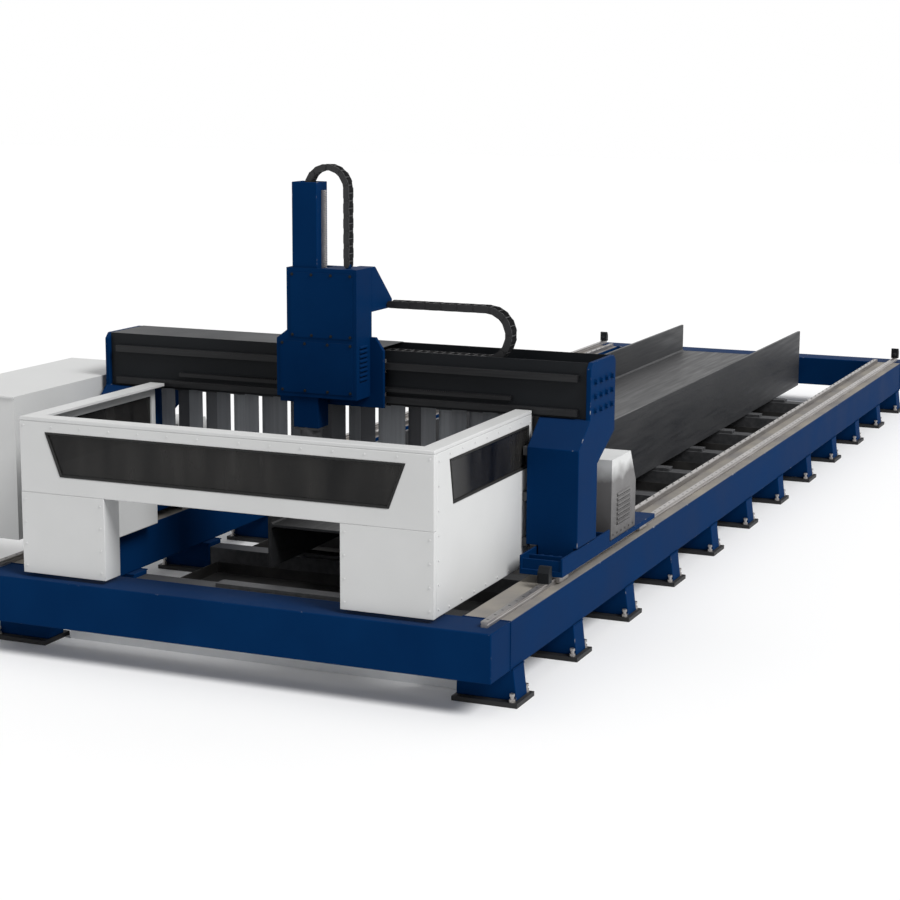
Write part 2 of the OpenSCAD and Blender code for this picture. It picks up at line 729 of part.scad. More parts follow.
module cabinet_door(far) {
  w = cab_l / 2 - gap_c;
  translate([0, cab_y0 + (far ? cab_l : 0), 0]) mirror([0, far ? 1 : 0, 0]) difference() {
    union() {
      box([hinge_x, gap_c, cab_z0 + gap_c], [hinge_x + cab_t, w, cab_z0 + cab_h - gap_c]);
      for (z = [hinge_z0, hinge_z1]) translate([hinge_x, 0, cab_z0 + z + hinge_l]) {
        cylinder(d = hinge_d, h = hinge_l);
        box([0, -hinge_d / 2, 0], [hinge_d / 2, 12, hinge_l]);
      }
      translate([hinge_x, w - grip_in, cab_z0 + grip_z]) {
        for (z = [0, grip_h - grip_w]) box([-28, 0, z], [1, grip_w, z + grip_w]);
        box([-36, 0, 0], [-26, grip_w, grip_h]);
      }
    }
    for (z = [hinge_z0, hinge_z1]) translate([hinge_x, 0, cab_z0 + z - 1])
      cylinder(d = hinge_d + 4, h = hinge_l + 1);
    for (z = [slot_z0, slot_z1]) for (i = [0 : slot_n - 1])
      translate([hinge_x - 1, w / 2, cab_z0 + z + i * slot_step])
        rotate([90, 0, 90]) linear_extrude(cab_t + 2) round_slot(cab_l / 4, 14);
  }
}

module cabinet_door_front() color(pale) on_gantry() cabinet_door(false);

module cabinet_door_rear() color(pale) on_gantry() cabinet_door(true);

// Carriage
module saddle() color(blue) on_gantry() difference() {
  prism_y(saddle_y0, saddle_y1, [[-saddle_hw, cross_z0 - 8], [saddle_hw, cross_z0 - 8],
    [saddle_hw, saddle_z1 - 90], [saddle_hw - 60, saddle_z1], [house_x1, saddle_z1], [house_x1, house_z1],
    [house_x0, house_z1], [house_x0, saddle_z1], [-saddle_hw + 60, saddle_z1], [-saddle_hw, saddle_z1 - 90]]);
  translate([rpin_x, saddle_y0 - 1, rpin_z]) rotate([-90, 0, 0]) cylinder(r = shaft2_r + 6, h = saddle_t + 2);
  translate([cpin_x, saddle_y0 - 1, cpin_z]) rotate([-90, 0, 0]) cylinder(r = shaft2_r + 6, h = saddle_t + 2);
}

module housing() color(blue) on_gantry() difference() {
  union() {
    prism_y(house_y0, saddle_y0, [[wing_x0, house_z0], [house_x1, house_z0], [house_x1, house_z1],
      [house_x0, house_z1], [house_x0, wing_z1 + wing_cut], [wing_x0, wing_z1]]);
    box([wing_x0 + panel_in, house_y0 - panel_t, house_z0 + panel_in],
      [house_x1 - panel_in, house_y0 + 1, wing_z1 - panel_in / 2]);
    box([house_x0 + panel_in, house_y0 - panel_t, wing_z1 + panel_in / 2],
      [house_x1 - panel_in, house_y0 + 1, house_z1 - panel_in]);
  }
  for (i = [0 : 7]) translate([house_x1 - house_t - 1, (house_y0 + saddle_y0) / 2, house_z0 + 120 + i * 32])
    rotate([90, 0, 90]) linear_extrude(house_t + 2) round_slot(120, 12);
  prism_y(house_y0 + house_t, saddle_y0 + 1, [[wing_x0 + house_t, house_z0 - 1],
    [house_x1 - house_t, house_z0 - 1], [house_x1 - house_t, house_z1 - 12],
    [house_x0 + house_t, house_z1 - 12], [house_x0 + house_t, wing_z1 + wing_cut - 2],
    [wing_x0 + house_t, wing_z1 - 2]]);
  box([ram_x - ram_w / 2 - 8, ram_y0 - 8, house_z1 - 20],
    [ram_x + ram_w / 2 + short_back + 8, saddle_y0 + 1, house_z1 + 1]);
}

module saddle_blocks() color(steel) on_gantry() {
  for (z = [srail_z0, srail_z1]) for (s = [-1, 1])
    translate([s * (saddle_hw - 20 - saddle_block / 2), cross_y0, z]) rotate([90, 0, 0]) rotate(-90)
      guide_block(saddle_block, block_w, saddle_gap, block_lift, srail_w, srail_h);
  for (x = [ram_x - rr_x, ram_x + rr_x]) for (z = [house_z0 + 90, house_z0 + 530])
    translate([x, ram_y1, z + ram_block / 2]) rotate([-90, 0, 0])
      guide_block(ram_block, 60, saddle_y0 - ram_y1, 4, rr_w, rr_h);
}

module cross_drive() color(black) on_gantry() translate([cpin_x, saddle_y0, cpin_z]) difference() {
  union() {
    box([-55, -90, -55], [55, 0, 55]);
    translate([0, -89, 0]) rotate([90, 0, 0]) servo(96, 96, 8);
  }
  translate([0, 1, 0]) rotate([90, 0, 0]) cylinder(r = shaft2_r + run_c, h = 41);
}

module ram_drive() color(black) on_gantry() translate([rpin_x, saddle_y1, rpin_z]) difference() {
  union() {
    box([-50, 0, -50], [50, 110, 50]);
    translate([0, 109, 0]) rotate([-90, 0, 0]) cylinder(d = 84, h = 32);
    translate([0, 140, 0]) rotate([-90, 0, 0]) servo(88, 150, 24);
  }
  translate([0, -1, 0]) rotate([-90, 0, 0]) cylinder(r = shaft2_r + run_c, h = 41);
}

module chain_bracket() color(blue) on_gantry() {
  prism_x(house_x1 - bracket_w, house_x1, [[saddle_y1, ych_z1 - bracket_h / 2],
    [ych_y + bracket_w / 2, ych_z1 - bracket_h / 2], [ych_y + bracket_w / 2, ych_z1 + bracket_h / 2],
    [saddle_y1 + bracket_h, house_z1], [saddle_y1, house_z1]]);
  box([house_x1 - 1, ych_y - ych_w / 2 + tongue, ych_z1 - 10],
    [house_x1 + ych_h / 2 + 5, ych_y + ych_w / 2 - tongue, ych_z1 + 10]);
  translate([zch_x + zch_r, ram_y, house_z1])
    box([-10, -zch_w / 2 + tongue, 0], [10, zch_w / 2 - tongue, zch_h / 2 + 4]);
}

module cross_pinion() color(steel) on_gantry() translate([cpin_x, 0, cpin_z]) {
  translate([0, cross_y0 - 3, 0]) rotate([90, 0, 0]) rotate(90)
    linear_extrude(short_pin_t) pinion_2d(short_mod, short_teeth);
  translate([0, cross_y0 - short_pin_t - 2, 0]) rotate([90, 0, 0])
    cylinder(r = shaft2_r, h = saddle_gap + saddle_t - short_pin_t - 2 + shaft_in);
}

module ram_pinion() color(steel) on_gantry() translate([rpin_x, 0, rpin_z]) {
  y1 = ram_y + short_pin_t / 2;
  translate([0, y1, 0]) rotate([90, 0, 0]) linear_extrude(short_pin_t) pinion_2d(short_mod, short_teeth);
  translate([0, y1 - 1, 0]) rotate([-90, 0, 0]) cylinder(r = shaft2_r, h = saddle_y1 - y1 + 1 + shaft_in);
}

// Ram and head
module ram() color(blue) on_gantry() difference() {
  box([ram_x - ram_w / 2, ram_y0, ram_z0], [ram_x + ram_w / 2, ram_y1, ram_z1]);
  box([ram_x - ram_w / 2 + ram_t, ram_y0 + ram_t, ram_z0 + 20],
    [ram_x + ram_w / 2 - ram_t, ram_y1 - ram_t, ram_z1 + 1]);
}

module ram_rails() color(steel) on_gantry() for (s = [-1, 1])
  box([ram_x + s * rr_x - rr_w / 2, ram_y1, ram_z0 + 30],
    [ram_x + s * rr_x + rr_w / 2, ram_y1 + rr_h, ram_z1 - 30]);

module ram_rack() color(steel) on_gantry()
  translate([ram_x + ram_w / 2, ram_y - 13, rpin_z - 20 * pitch_of(short_mod)])
    rotate([90, 0, 0]) mirror([0, 0, 1]) linear_extrude(26) rack_2d(short_mod, 68, short_back);

module swivel_housing() color(dark) on_gantry() translate([head_x, ram_y, 0]) {
  translate([0, 0, swivel_z1]) cylinder(d = 156, h = ram_z0 - swivel_z1 - 14);
  translate([0, 0, ram_z0 - 15]) box([-90, -76, 0], [90, 76, 15]);
}

module swivel_arm() color(blue) on_gantry() translate([head_x, ram_y, 0]) {
  translate([0, 0, swivel_z1 - 34]) cylinder(d = 150, h = 33.7);
  box([56, -48, tilt_z], [104, 48, swivel_z1 - 33]);
  box([40, -48, swivel_z1 - 50], [104, 48, swivel_z1 - 33]);
  translate([56, 0, tilt_z]) rotate([0, 90, 0]) cylinder(d = 96, h = 48);
  translate([103, 0, tilt_z]) rotate([0, 90, 0]) cylinder(d = 78, h = 60);
}

// A square prism with cut corners along Z, from z0 to z1
module cut_square(w, c, z0, z1) translate([0, 0, z0]) linear_extrude(z1 - z0)
  polygon([for (a = [0 : 3]) each [
    for (q = [[w / 2, -w / 2 + c], [w / 2, w / 2 - c]])
      [q[0] * cos(90 * a) - q[1] * sin(90 * a), q[0] * sin(90 * a) + q[1] * cos(90 * a)]]]);

module cutting_head() color(steel) on_gantry() translate([head_x, ram_y, tilt_z]) {
  translate([30, 0, 0]) rotate([0, 90, 0]) cylinder(d = 80, h = 25.7);
  cut_square(72, 9, -64, 58);
  cut_square(64, 8, 57, 74);
  translate([0, 0, 73]) cylinder(d = 44, h = 26);
  box([-50, -22, -52], [-35, 22, -8]);
  for (y = [-24, 24]) translate([-35, y, 36]) rotate([0, -90, 0]) cylinder(d = 12, h = 14);
  rotate_extrude() polygon([[0, tip_z - tilt_z], [3, tip_z - tilt_z], [11, -170], [13, -169], [13, -150],
    [17, -142], [19, -142], [29, -110], [29, -104], [26, -101], [26, -84], [29, -81], [29, -63], [0, -63]]);
}

// Chains
module cross_chain_run() color(black) on_gantry() for (i = [0 : ych_runs - 1])
  translate([ych_x - (i + 1) * ych_p, ych_y, ych_z1]) link(ych_p, ych_h, ych_w, i % 2 == 1);

module cross_chain_loop() color(black) on_gantry() {
  a = 180 / ych_n;
  for (i = [0 : ych_n - 1])
    translate([ych_x + ych_r * sin(i * a), ych_y, ych_z0 + ych_r + ych_r * cos(i * a)])
      rotate([0, (i + 0.5) * a, 0]) link(ych_p, ych_h, ych_w, i % 2 == 0);
  for (i = [0 : ych_tail - 1])
    translate([ych_x - (i + 1) * ych_p, ych_y, ych_z0]) link(ych_p, ych_h, ych_w, i % 2 == 1);
}

module ram_chain_run() color(black) on_gantry() for (i = [0 : zch_runs - 1])
  translate([zch_x + zch_r, ram_y, zch_z - i * zch_p]) rotate([0, 90, 0])
    link(zch_p, zch_h, zch_w, i % 2 == 1);

module ram_chain_loop() color(black) on_gantry() {
  a = 180 / zch_n;
  for (i = [0 : zch_n - 1])
    translate([zch_x - zch_r * cos(i * a), ram_y, zch_z + zch_r * sin(i * a)])
      rotate([0, -90 + (i + 0.5) * a, 0]) link(zch_p, zch_h, zch_w, i % 2 == 0);
  for (i = [0 : zch_tail - 1])
    translate([zch_x - zch_r, ram_y, zch_z - i * zch_p]) rotate([0, 90, 0])
      link(zch_p, zch_h, zch_w, i % 2 == 1);
}

rail_beams();
end_beams();
bed_legs();
foot_plates();
levelling_screws();
cross_ties();
work_rests();
scrap_trays();
long_rails();
long_racks();
end_stops();
workpiece_beam();
trucks();
truck_blocks();
column_left();
column_right();
crossbeam();
beam_rails();
beam_rack();
cable_tray();
tray_lid();
long_drives();
drive_cover_left();
drive_cover_right();
enclosure_header();
enclosure_leg_left();
enclosure_leg_right();
enclosure_side_left();
enclosure_side_right();
enclosure_rim();
front_window();
side_windows();
enclosure_brackets();
curtain_rail();
curtain_strips();
cabinet_shell();
cabinet_units();
cabinet_mounts();
cabinet_door_front();
cabinet_door_rear();
pinion_left();
pinion_right();
saddle();
housing();
saddle_blocks();
cross_drive();
ram_drive();
chain_bracket();
cross_pinion();
ram_pinion();
cross_chain_loop();
cross_chain_run();
ram();
ram_rails();
ram_rack();
swivel_housing();
ram_chain_loop();
ram_chain_run();
swivel_arm();
cutting_head();
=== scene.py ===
# %% [markdown]
# # Dressing a beam-cutting laser machine
# The welded bed, the travelling portal and everything that moves come ready made, at their real size.
# This lesson gives them their looks: rounded edges, paint and steel, and the small hardware that holds
# them together. Every finished piece stays where the frame says and rides on one of its bodies.

# %% Load the machine
import json
import math

import bmesh
import bpy
from mathutils import Matrix, Vector
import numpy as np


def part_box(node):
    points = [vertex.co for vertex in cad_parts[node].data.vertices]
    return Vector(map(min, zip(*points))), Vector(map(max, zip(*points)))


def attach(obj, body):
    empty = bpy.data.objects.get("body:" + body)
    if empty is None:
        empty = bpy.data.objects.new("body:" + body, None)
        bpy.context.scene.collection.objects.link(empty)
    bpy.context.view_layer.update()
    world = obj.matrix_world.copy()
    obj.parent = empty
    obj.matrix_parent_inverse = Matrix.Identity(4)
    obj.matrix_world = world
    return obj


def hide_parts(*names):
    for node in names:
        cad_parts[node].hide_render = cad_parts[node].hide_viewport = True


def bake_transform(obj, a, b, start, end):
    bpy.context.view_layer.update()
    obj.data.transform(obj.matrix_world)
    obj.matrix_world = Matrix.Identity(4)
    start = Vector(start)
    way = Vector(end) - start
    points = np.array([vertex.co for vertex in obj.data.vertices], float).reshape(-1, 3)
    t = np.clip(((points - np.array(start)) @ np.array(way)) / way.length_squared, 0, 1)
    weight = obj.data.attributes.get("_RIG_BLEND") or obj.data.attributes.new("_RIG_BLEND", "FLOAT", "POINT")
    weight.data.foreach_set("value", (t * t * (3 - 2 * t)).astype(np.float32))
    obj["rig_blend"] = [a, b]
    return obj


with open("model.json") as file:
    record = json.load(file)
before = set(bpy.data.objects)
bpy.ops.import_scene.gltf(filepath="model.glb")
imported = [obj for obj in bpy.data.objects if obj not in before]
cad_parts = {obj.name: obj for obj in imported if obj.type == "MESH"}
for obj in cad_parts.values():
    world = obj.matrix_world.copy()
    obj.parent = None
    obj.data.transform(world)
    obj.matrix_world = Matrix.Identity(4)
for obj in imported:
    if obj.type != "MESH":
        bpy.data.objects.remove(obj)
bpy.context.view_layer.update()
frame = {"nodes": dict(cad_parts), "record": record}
body_of_node = {
    node: body
    for body, nodes in frame["record"]["behaviour"]["bodies"].items()
    for node in nodes
}
slot_of_node = {row["node"]: row["material_slot"] for row in frame["record"]["subparts"]}

# %% [markdown]
# ## Where the camera stands
# The camera could be pushed about by eye until the picture looks right. Here its place, its angles and
# its focal length were fitted once to the corners of the enclosure, the feet and the rails, so the
# script only has to turn three angles into the directions that a camera needs.

# %% Camera
CAMERA_AT = Vector((6.268, -17.445, 3.861))
YAW, PITCH, ROLL = math.radians(23.05), math.radians(10.55), math.radians(0.31)
PICTURE_PX = 900
FOCAL_PX = 2040.5
SENSOR_MM = 36.0

forward = Vector((
    -math.sin(YAW) * math.cos(PITCH),
    math.cos(YAW) * math.cos(PITCH),
    -math.sin(PITCH),
))
level = Vector((math.cos(YAW), math.sin(YAW), 0.0))
upright = level.cross(forward)
right = level * math.cos(ROLL) + upright * math.sin(ROLL)
up = right.cross(forward)

lens = bpy.data.cameras.new("view_lens")
lens.sensor_width = SENSOR_MM
lens.lens = FOCAL_PX / PICTURE_PX * SENSOR_MM
lens.clip_end = 200.0
camera = bpy.data.objects.new("view_camera", lens)
bpy.context.scene.collection.objects.link(camera)
turn = [[right[i], up[i], -forward[i], CAMERA_AT[i]] for i in range(3)]
turn.append([0.0, 0.0, 0.0, 1.0])
camera.matrix_world = Matrix(turn)
bpy.context.scene.camera = camera
print("lens", round(lens.lens, 2), "mm")

# %% [markdown]
# ## Light and floor
# A factory photo cut out on white has soft light from everywhere and one broad lamp from the right.
# A dome of sky gives the first and a wide sun gives the second. The floor is pale and takes the shadow;
# the sky turns plain white wherever the camera, a gloss or a pane looks straight at it.

# %% White sky
SKY_LEVEL = 0.50
scene = bpy.context.scene
scene.view_settings.view_transform = "Standard"
sky = bpy.data.worlds.new("white_room")
scene.world = sky
sky.use_nodes = True
air = sky.node_tree
rays = air.nodes.new("ShaderNodeLightPath")
seen = air.nodes.new("ShaderNodeMath")
seen.operation = "MAXIMUM"
seen_too = air.nodes.new("ShaderNodeMath")
seen_too.operation = "MAXIMUM"
level_of_sky = air.nodes.new("ShaderNodeMapRange")
level_of_sky.inputs["To Min"].default_value = SKY_LEVEL
level_of_sky.inputs["To Max"].default_value = 1.0
air.links.new(rays.outputs["Is Camera Ray"], seen.inputs[0])
air.links.new(rays.outputs["Is Glossy Ray"], seen.inputs[1])
air.links.new(seen.outputs[0], seen_too.inputs[0])
air.links.new(rays.outputs["Is Transmission Ray"], seen_too.inputs[1])
air.links.new(seen_too.outputs[0], level_of_sky.inputs["Value"])
air.nodes["Background"].inputs["Color"].default_value = (1.0, 1.0, 1.0, 1.0)
air.links.new(level_of_sky.outputs["Result"], air.nodes["Background"].inputs["Strength"])
print("sky", SKY_LEVEL)

# %% Broad lamp
SUN_LEVEL = 2.5
SUN_FROM = Vector((0.70, -0.22, 0.74))
SUN_SPREAD = math.radians(24)
sun = bpy.data.lights.new("broad_lamp", "SUN")
sun.energy = SUN_LEVEL
sun.angle = SUN_SPREAD
lamp = bpy.data.objects.new("broad_lamp", sun)
lamp.rotation_euler = SUN_FROM.to_track_quat("Z", "Y").to_euler()
scene.collection.objects.link(lamp)
print("lamp", SUN_LEVEL)

# %% Pale floor
FLOOR_HALF = 70.0
FLOOR_PALE = 0.97
floor_mesh = bpy.data.meshes.new("shop_floor")
floor_mesh.from_pydata(
    [(sx * FLOOR_HALF, sy * FLOOR_HALF, 0.0) for sx, sy in ((-1, -1), (1, -1), (1, 1), (-1, 1))],
    [],
    [(0, 1, 2, 3)],
)
shop_floor = bpy.data.objects.new("shop_floor", floor_mesh)
scene.collection.objects.link(shop_floor)
floor_finish = bpy.data.materials.new("pale_floor")
floor_finish.use_nodes = True
floor_shader = floor_finish.node_tree.nodes["Principled BSDF"]
floor_shader.inputs["Base Color"].default_value = (FLOOR_PALE, FLOOR_PALE, FLOOR_PALE, 1.0)
floor_shader.inputs["Roughness"].default_value = 0.9
floor_shader.inputs["Specular IOR Level"].default_value = 0.1
floor_mesh.materials.append(floor_finish)
print("floor", floor_finish.name, 2 * FLOOR_HALF, "m wide")

# %% [markdown]
# ## Three effects that many finishes share
# Paint is thin on sharp corners, so it wears there first; dust settles on what faces up; sprayed paint
# dries with a fine skin like orange peel. Each effect could be copied into every material. As a node
# group it is drawn once, and each finish only says how much of it there is.


# %% Helpers that open and fill a shader group
def shader_group(name, inputs, outputs):
    group = bpy.data.node_groups.new(name, "ShaderNodeTree")
    for label, value in inputs:
        socket = group.interface.new_socket(label, in_out="INPUT", socket_type="NodeSocketFloat")
        socket.default_value = value
    for label in outputs:
        group.interface.new_socket(label, in_out="OUTPUT", socket_type="NodeSocketFloat")
    start = group.nodes.new("NodeGroupInput")
    end = group.nodes.new("NodeGroupOutput")
    return group, start, end


def math_node(tree, operation, first, second=None, clamp=False):
    node = tree.nodes.new("ShaderNodeMath")
    node.operation = operation
    node.use_clamp = clamp
    for socket, value in zip(node.inputs, (first, second)):
        if isinstance(value, (int, float)):
            socket.default_value = value
        elif value is not None:
            tree.links.new(value, socket)
    return node.outputs[0]


def noise_node(tree, scale, detail, stretch=(1.0, 1.0, 1.0)):
    place = tree.nodes.new("ShaderNodeTexCoord")
    mapping = tree.nodes.new("ShaderNodeMapping")
    mapping.inputs["Scale"].default_value = stretch
    noise = tree.nodes.new("ShaderNodeTexNoise")
    noise.inputs["Detail"].default_value = detail
    tree.links.new(place.outputs["Object"], mapping.inputs["Vector"])
    tree.links.new(mapping.outputs["Vector"], noise.inputs["Vector"])
    if isinstance(scale, (int, float)):
        noise.inputs["Scale"].default_value = scale
    else:
        tree.links.new(scale, noise.inputs["Scale"])
    return noise.outputs["Fac"]


# %% Worn edges, settled dust and sprayed skin
worn_edges, start, end = shader_group("worn_edges", [("Amount", 0.4), ("Scale", 9.0)], ["Mask"])
edge_tag = worn_edges.nodes.new("ShaderNodeAttribute")
edge_tag.attribute_name = "edge"
speckle = noise_node(worn_edges, start.outputs["Scale"], 6.0)
chips = math_node(worn_edges, "MULTIPLY", edge_tag.outputs["Fac"], speckle)
kept = math_node(worn_edges, "SUBTRACT", 1.0, start.outputs["Amount"])
bare = math_node(worn_edges, "SUBTRACT", chips, kept)
worn_edges.links.new(math_node(worn_edges, "MULTIPLY", bare, 7.0, clamp=True), end.inputs["Mask"])

settled_dust, start, end = shader_group("settled_dust", [("Amount", 0.3), ("Scale", 2.0)], ["Mask"])
facing = settled_dust.nodes.new("ShaderNodeNewGeometry")
split = settled_dust.nodes.new("ShaderNodeSeparateXYZ")
settled_dust.links.new(facing.outputs["Normal"], split.inputs[0])
flat = math_node(settled_dust, "SUBTRACT", split.outputs["Z"], 0.55)
flat = math_node(settled_dust, "MULTIPLY", flat, 2.2, clamp=True)
drift = noise_node(settled_dust, start.outputs["Scale"], 5.0)
drift = math_node(settled_dust, "ADD", drift, 0.35)
film = math_node(settled_dust, "MULTIPLY", flat, drift)
settled_dust.links.new(
    math_node(settled_dust, "MULTIPLY", film, start.outputs["Amount"], clamp=True), end.inputs["Mask"]
)

sprayed_skin, start, end = shader_group("sprayed_skin", [("Scale", 300.0)], ["Height", "Tone"])
sprayed_skin.links.new(noise_node(sprayed_skin, start.outputs["Scale"], 2.0), end.inputs["Height"])
sprayed_skin.links.new(noise_node(sprayed_skin, 1.7, 4.0), end.inputs["Tone"])
print("groups", worn_edges.name, settled_dust.name, sprayed_skin.name)

# %% [markdown]
# ## The paints
# The bed, the portal and the ram are deep blue, the enclosure and the covers are a pale powder coat, and
# the crossbeam is satin black. One function mixes all of them from the shared effects: two close shades
# of the colour, dust on top, bare steel on the chipped corners.


# %% Helpers that mix, spread and bump
def mix_colour(tree, mask, first, second):
    node = tree.nodes.new("ShaderNodeMix")
    node.data_type = "RGBA"
    for label, value in (("Factor", mask), ("A", first), ("B", second)):
        socket = node.inputs[label]
        if isinstance(value, tuple):
            socket.default_value = (*value, 1.0)
        elif isinstance(value, float):
            socket.default_value = value
        else:
            tree.links.new(value, socket)
    return node.outputs["Result"]


def place_group(tree, group, **values):
    node = tree.nodes.new("ShaderNodeGroup")
    node.node_tree = group
    for label, value in values.items():
        node.inputs[label].default_value = value
    return node


def spread(tree, value, low, high):
    node = tree.nodes.new("ShaderNodeMapRange")
    node.inputs["From Min"].default_value = 0.3
    node.inputs["From Max"].default_value = 0.7
    node.inputs["To Min"].default_value = low
    node.inputs["To Max"].default_value = high
    tree.links.new(value, node.inputs["Value"])
    return node.outputs["Result"]


def bumped(tree, shader, height, strength, distance):
    bump = tree.nodes.new("ShaderNodeBump")
    bump.inputs["Strength"].default_value = strength
    bump.inputs["Distance"].default_value = distance
    tree.links.new(height, bump.inputs["Height"])
    tree.links.new(bump.outputs["Normal"], shader.inputs["Normal"])


def finish_tree(name, specular):
    finish = bpy.data.materials.new(name)
    finish.use_nodes = True
    shader = finish.node_tree.nodes["Principled BSDF"]
    shader.inputs["Specular IOR Level"].default_value = specular
    return finish, finish.node_tree, shader


# %% A function for painted steel
BARE_STEEL = (0.33, 0.33, 0.34)


def painted(name, deep, light, rough, specular, wear, dust, dust_colour, skin=420.0):
    finish, tree, shader = finish_tree(name, specular)
    coat = place_group(tree, sprayed_skin, Scale=skin)
    chipped = place_group(tree, worn_edges, Amount=wear, Scale=14.0)
    dusty = place_group(tree, settled_dust, Amount=dust, Scale=2.3)
    tone = spread(tree, coat.outputs["Tone"], 0.0, 1.0)
    colour = mix_colour(tree, tone, deep, light)
    colour = mix_colour(tree, dusty.outputs["Mask"], colour, dust_colour)
    colour = mix_colour(tree, chipped.outputs["Mask"], colour, BARE_STEEL)
    tree.links.new(colour, shader.inputs["Base Color"])
    tree.links.new(spread(tree, coat.outputs["Tone"], rough, rough + 0.12), shader.inputs["Roughness"])
    tree.links.new(chipped.outputs["Mask"], shader.inputs["Metallic"])
    bumped(tree, shader, coat.outputs["Height"], 0.12, 0.0006)
    return finish


# %% Mix the paints
BLUE_DEEP, BLUE_LIGHT = (0.0012, 0.0190, 0.073), (0.0018, 0.0240, 0.088)
deep_blue = painted(
    "deep_blue_paint", BLUE_DEEP, BLUE_LIGHT, rough=0.46, specular=0.008, wear=0.36,
    dust=0.10, dust_colour=(0.08, 0.09, 0.12),
)
rail_blue = painted(
    "rail_blue_paint", BLUE_DEEP, BLUE_LIGHT, rough=0.46, specular=0.008, wear=0.36,
    dust=0.95, dust_colour=(0.31, 0.285, 0.245),
)
pale_coat = painted(
    "pale_powder_coat", (0.575, 0.58, 0.578), (0.615, 0.62, 0.618), rough=0.42, specular=0.30, wear=0.30,
    dust=0.08, dust_colour=(0.50, 0.48, 0.45), skin=650.0,
)
satin_black = painted(
    "satin_black_paint", (0.0058, 0.0070, 0.0088), (0.0098, 0.0115, 0.0138), rough=0.45, specular=0.16,
    wear=0.34, dust=0.16, dust_colour=(0.08, 0.08, 0.085),
)
print("paints", deep_blue.name, pale_coat.name, satin_black.name)

# %% [markdown]
# ## Drive covers that darken towards the foot
# The two drive covers show their pale coat only at the top and turn grey, then dark, further down.
# Painting that by hand would need an image. Height is enough here: the depth below the cover's top, made
# ragged by noise, drives two mixes.


# %% A coat that greys towards its foot
DARKEN_RAGGED = 0.12
GREY_FROM, GREY_REACH = 0.10, 0.12
FOOT_FROM, FOOT_REACH = 0.25, 0.45


def along(tree, axis):
    place = tree.nodes.new("ShaderNodeTexCoord")
    split = tree.nodes.new("ShaderNodeSeparateXYZ")
    tree.links.new(place.outputs["Object"], split.inputs[0])
    return split.outputs[axis]


def ramp(tree, value, first, reach):
    past = math_node(tree, "SUBTRACT", value, first)
    return math_node(tree, "MULTIPLY", past, 1.0 / reach, clamp=True)


def foot_dark_coat():
    finish, tree, shader = finish_tree("drive_cover_coat", 0.22)
    coat = place_group(tree, sprayed_skin, Scale=650.0)
    mottle = noise_node(tree, 9.0, 5.0)
    depth = math_node(tree, "SUBTRACT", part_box("drive_cover_right")[1].z, along(tree, "Z"))
    depth = math_node(tree, "ADD", depth, math_node(tree, "MULTIPLY", mottle, DARKEN_RAGGED))
    # Depth below the top, ragged by noise, turns the coat grey and then dark towards the foot.
    grey = ramp(tree, depth, GREY_FROM, GREY_REACH)
    foot = ramp(tree, depth, FOOT_FROM, FOOT_REACH)
    colour = mix_colour(tree, grey, (0.60, 0.605, 0.603), (0.145, 0.142, 0.142))
    colour = mix_colour(tree, foot, colour, (0.052, 0.049, 0.050))
    tree.links.new(colour, shader.inputs["Base Color"])
    tree.links.new(spread(tree, mottle, 0.45, 0.62), shader.inputs["Roughness"])
    bumped(tree, shader, coat.outputs["Height"], 0.12, 0.0006)
    return finish


cover_coat = foot_dark_coat()
print("cover coat", cover_coat.name)

# %% [markdown]
# ## Steel, plastic, rubber and glass
# The section on the bed still has its mill scale, a blue-grey skin with paler scuffs. The long rails and
# racks are ground bright, with fine lines along their length, and those of the crossbeam are blackened.
# The chains are matt moulded plastic, the strips of the curtain have aged differently, and the windows
# are smoked almost to black. Noise stretched along a piece gives most of these their grain.


# %% Mill scale, and tray sheet with painted shade and light
def scaled_steel():
    finish, tree, shader = finish_tree("mill_scale_steel", 0.22)
    blotch = noise_node(tree, 3.0, 6.0, (1.0, 0.35, 1.0))
    scuff = noise_node(tree, 26.0, 3.0, (1.0, 0.06, 1.0))
    colour = mix_colour(tree, spread(tree, blotch, 0.0, 1.0), (0.025, 0.0265, 0.030), (0.041, 0.042, 0.0445))
    pale = math_node(tree, "MULTIPLY", spread(tree, scuff, 0.0, 0.5), 0.6, clamp=True)
    colour = mix_colour(tree, pale, colour, (0.064, 0.065, 0.066))
    dusty = place_group(tree, settled_dust, Amount=0.35, Scale=1.1)
    colour = mix_colour(tree, dusty.outputs["Mask"], colour, (0.086, 0.084, 0.083))
    tree.links.new(colour, shader.inputs["Base Color"])
    tree.links.new(spread(tree, scuff, 0.42, 0.62), shader.inputs["Roughness"])
    shader.inputs["Metallic"].default_value = 0.25
    bumped(tree, shader, blotch, 0.15, 0.002)
    return finish


NEAR_WALL_DEPTH = 0.003


def scorched_sheet():
    finish, tree, shader = finish_tree("scorched_sheet", 0.3)
    near_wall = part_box("scrap_trays")[0].y + NEAR_WALL_DEPTH
    # Dark inside: scorch plus painted shade. Near outer wall: paler zinc, painted light over its shadow.
    near_face = math_node(tree, "LESS_THAN", along(tree, "Y"), near_wall)
    soot = noise_node(tree, 5.0, 5.0)
    burnt_and_shaded = mix_colour(tree, spread(tree, soot, 0.0, 1.0), (0.018, 0.018, 0.019), (0.052, 0.050, 0.048))
    zinc_with_painted_light = mix_colour(tree, spread(tree, soot, 0.0, 1.0), (0.78, 0.79, 0.80), (0.86, 0.87, 0.88))
    tree.links.new(mix_colour(tree, near_face, burnt_and_shaded, zinc_with_painted_light), shader.inputs["Base Color"])
    tree.links.new(spread(tree, soot, 0.48, 0.66), shader.inputs["Roughness"])
    bumped(tree, shader, soot, 0.15, 0.002)
    return finish


mill_scale = scaled_steel()
tray_sheet = scorched_sheet()
print("steels", mill_scale.name, tray_sheet.name)


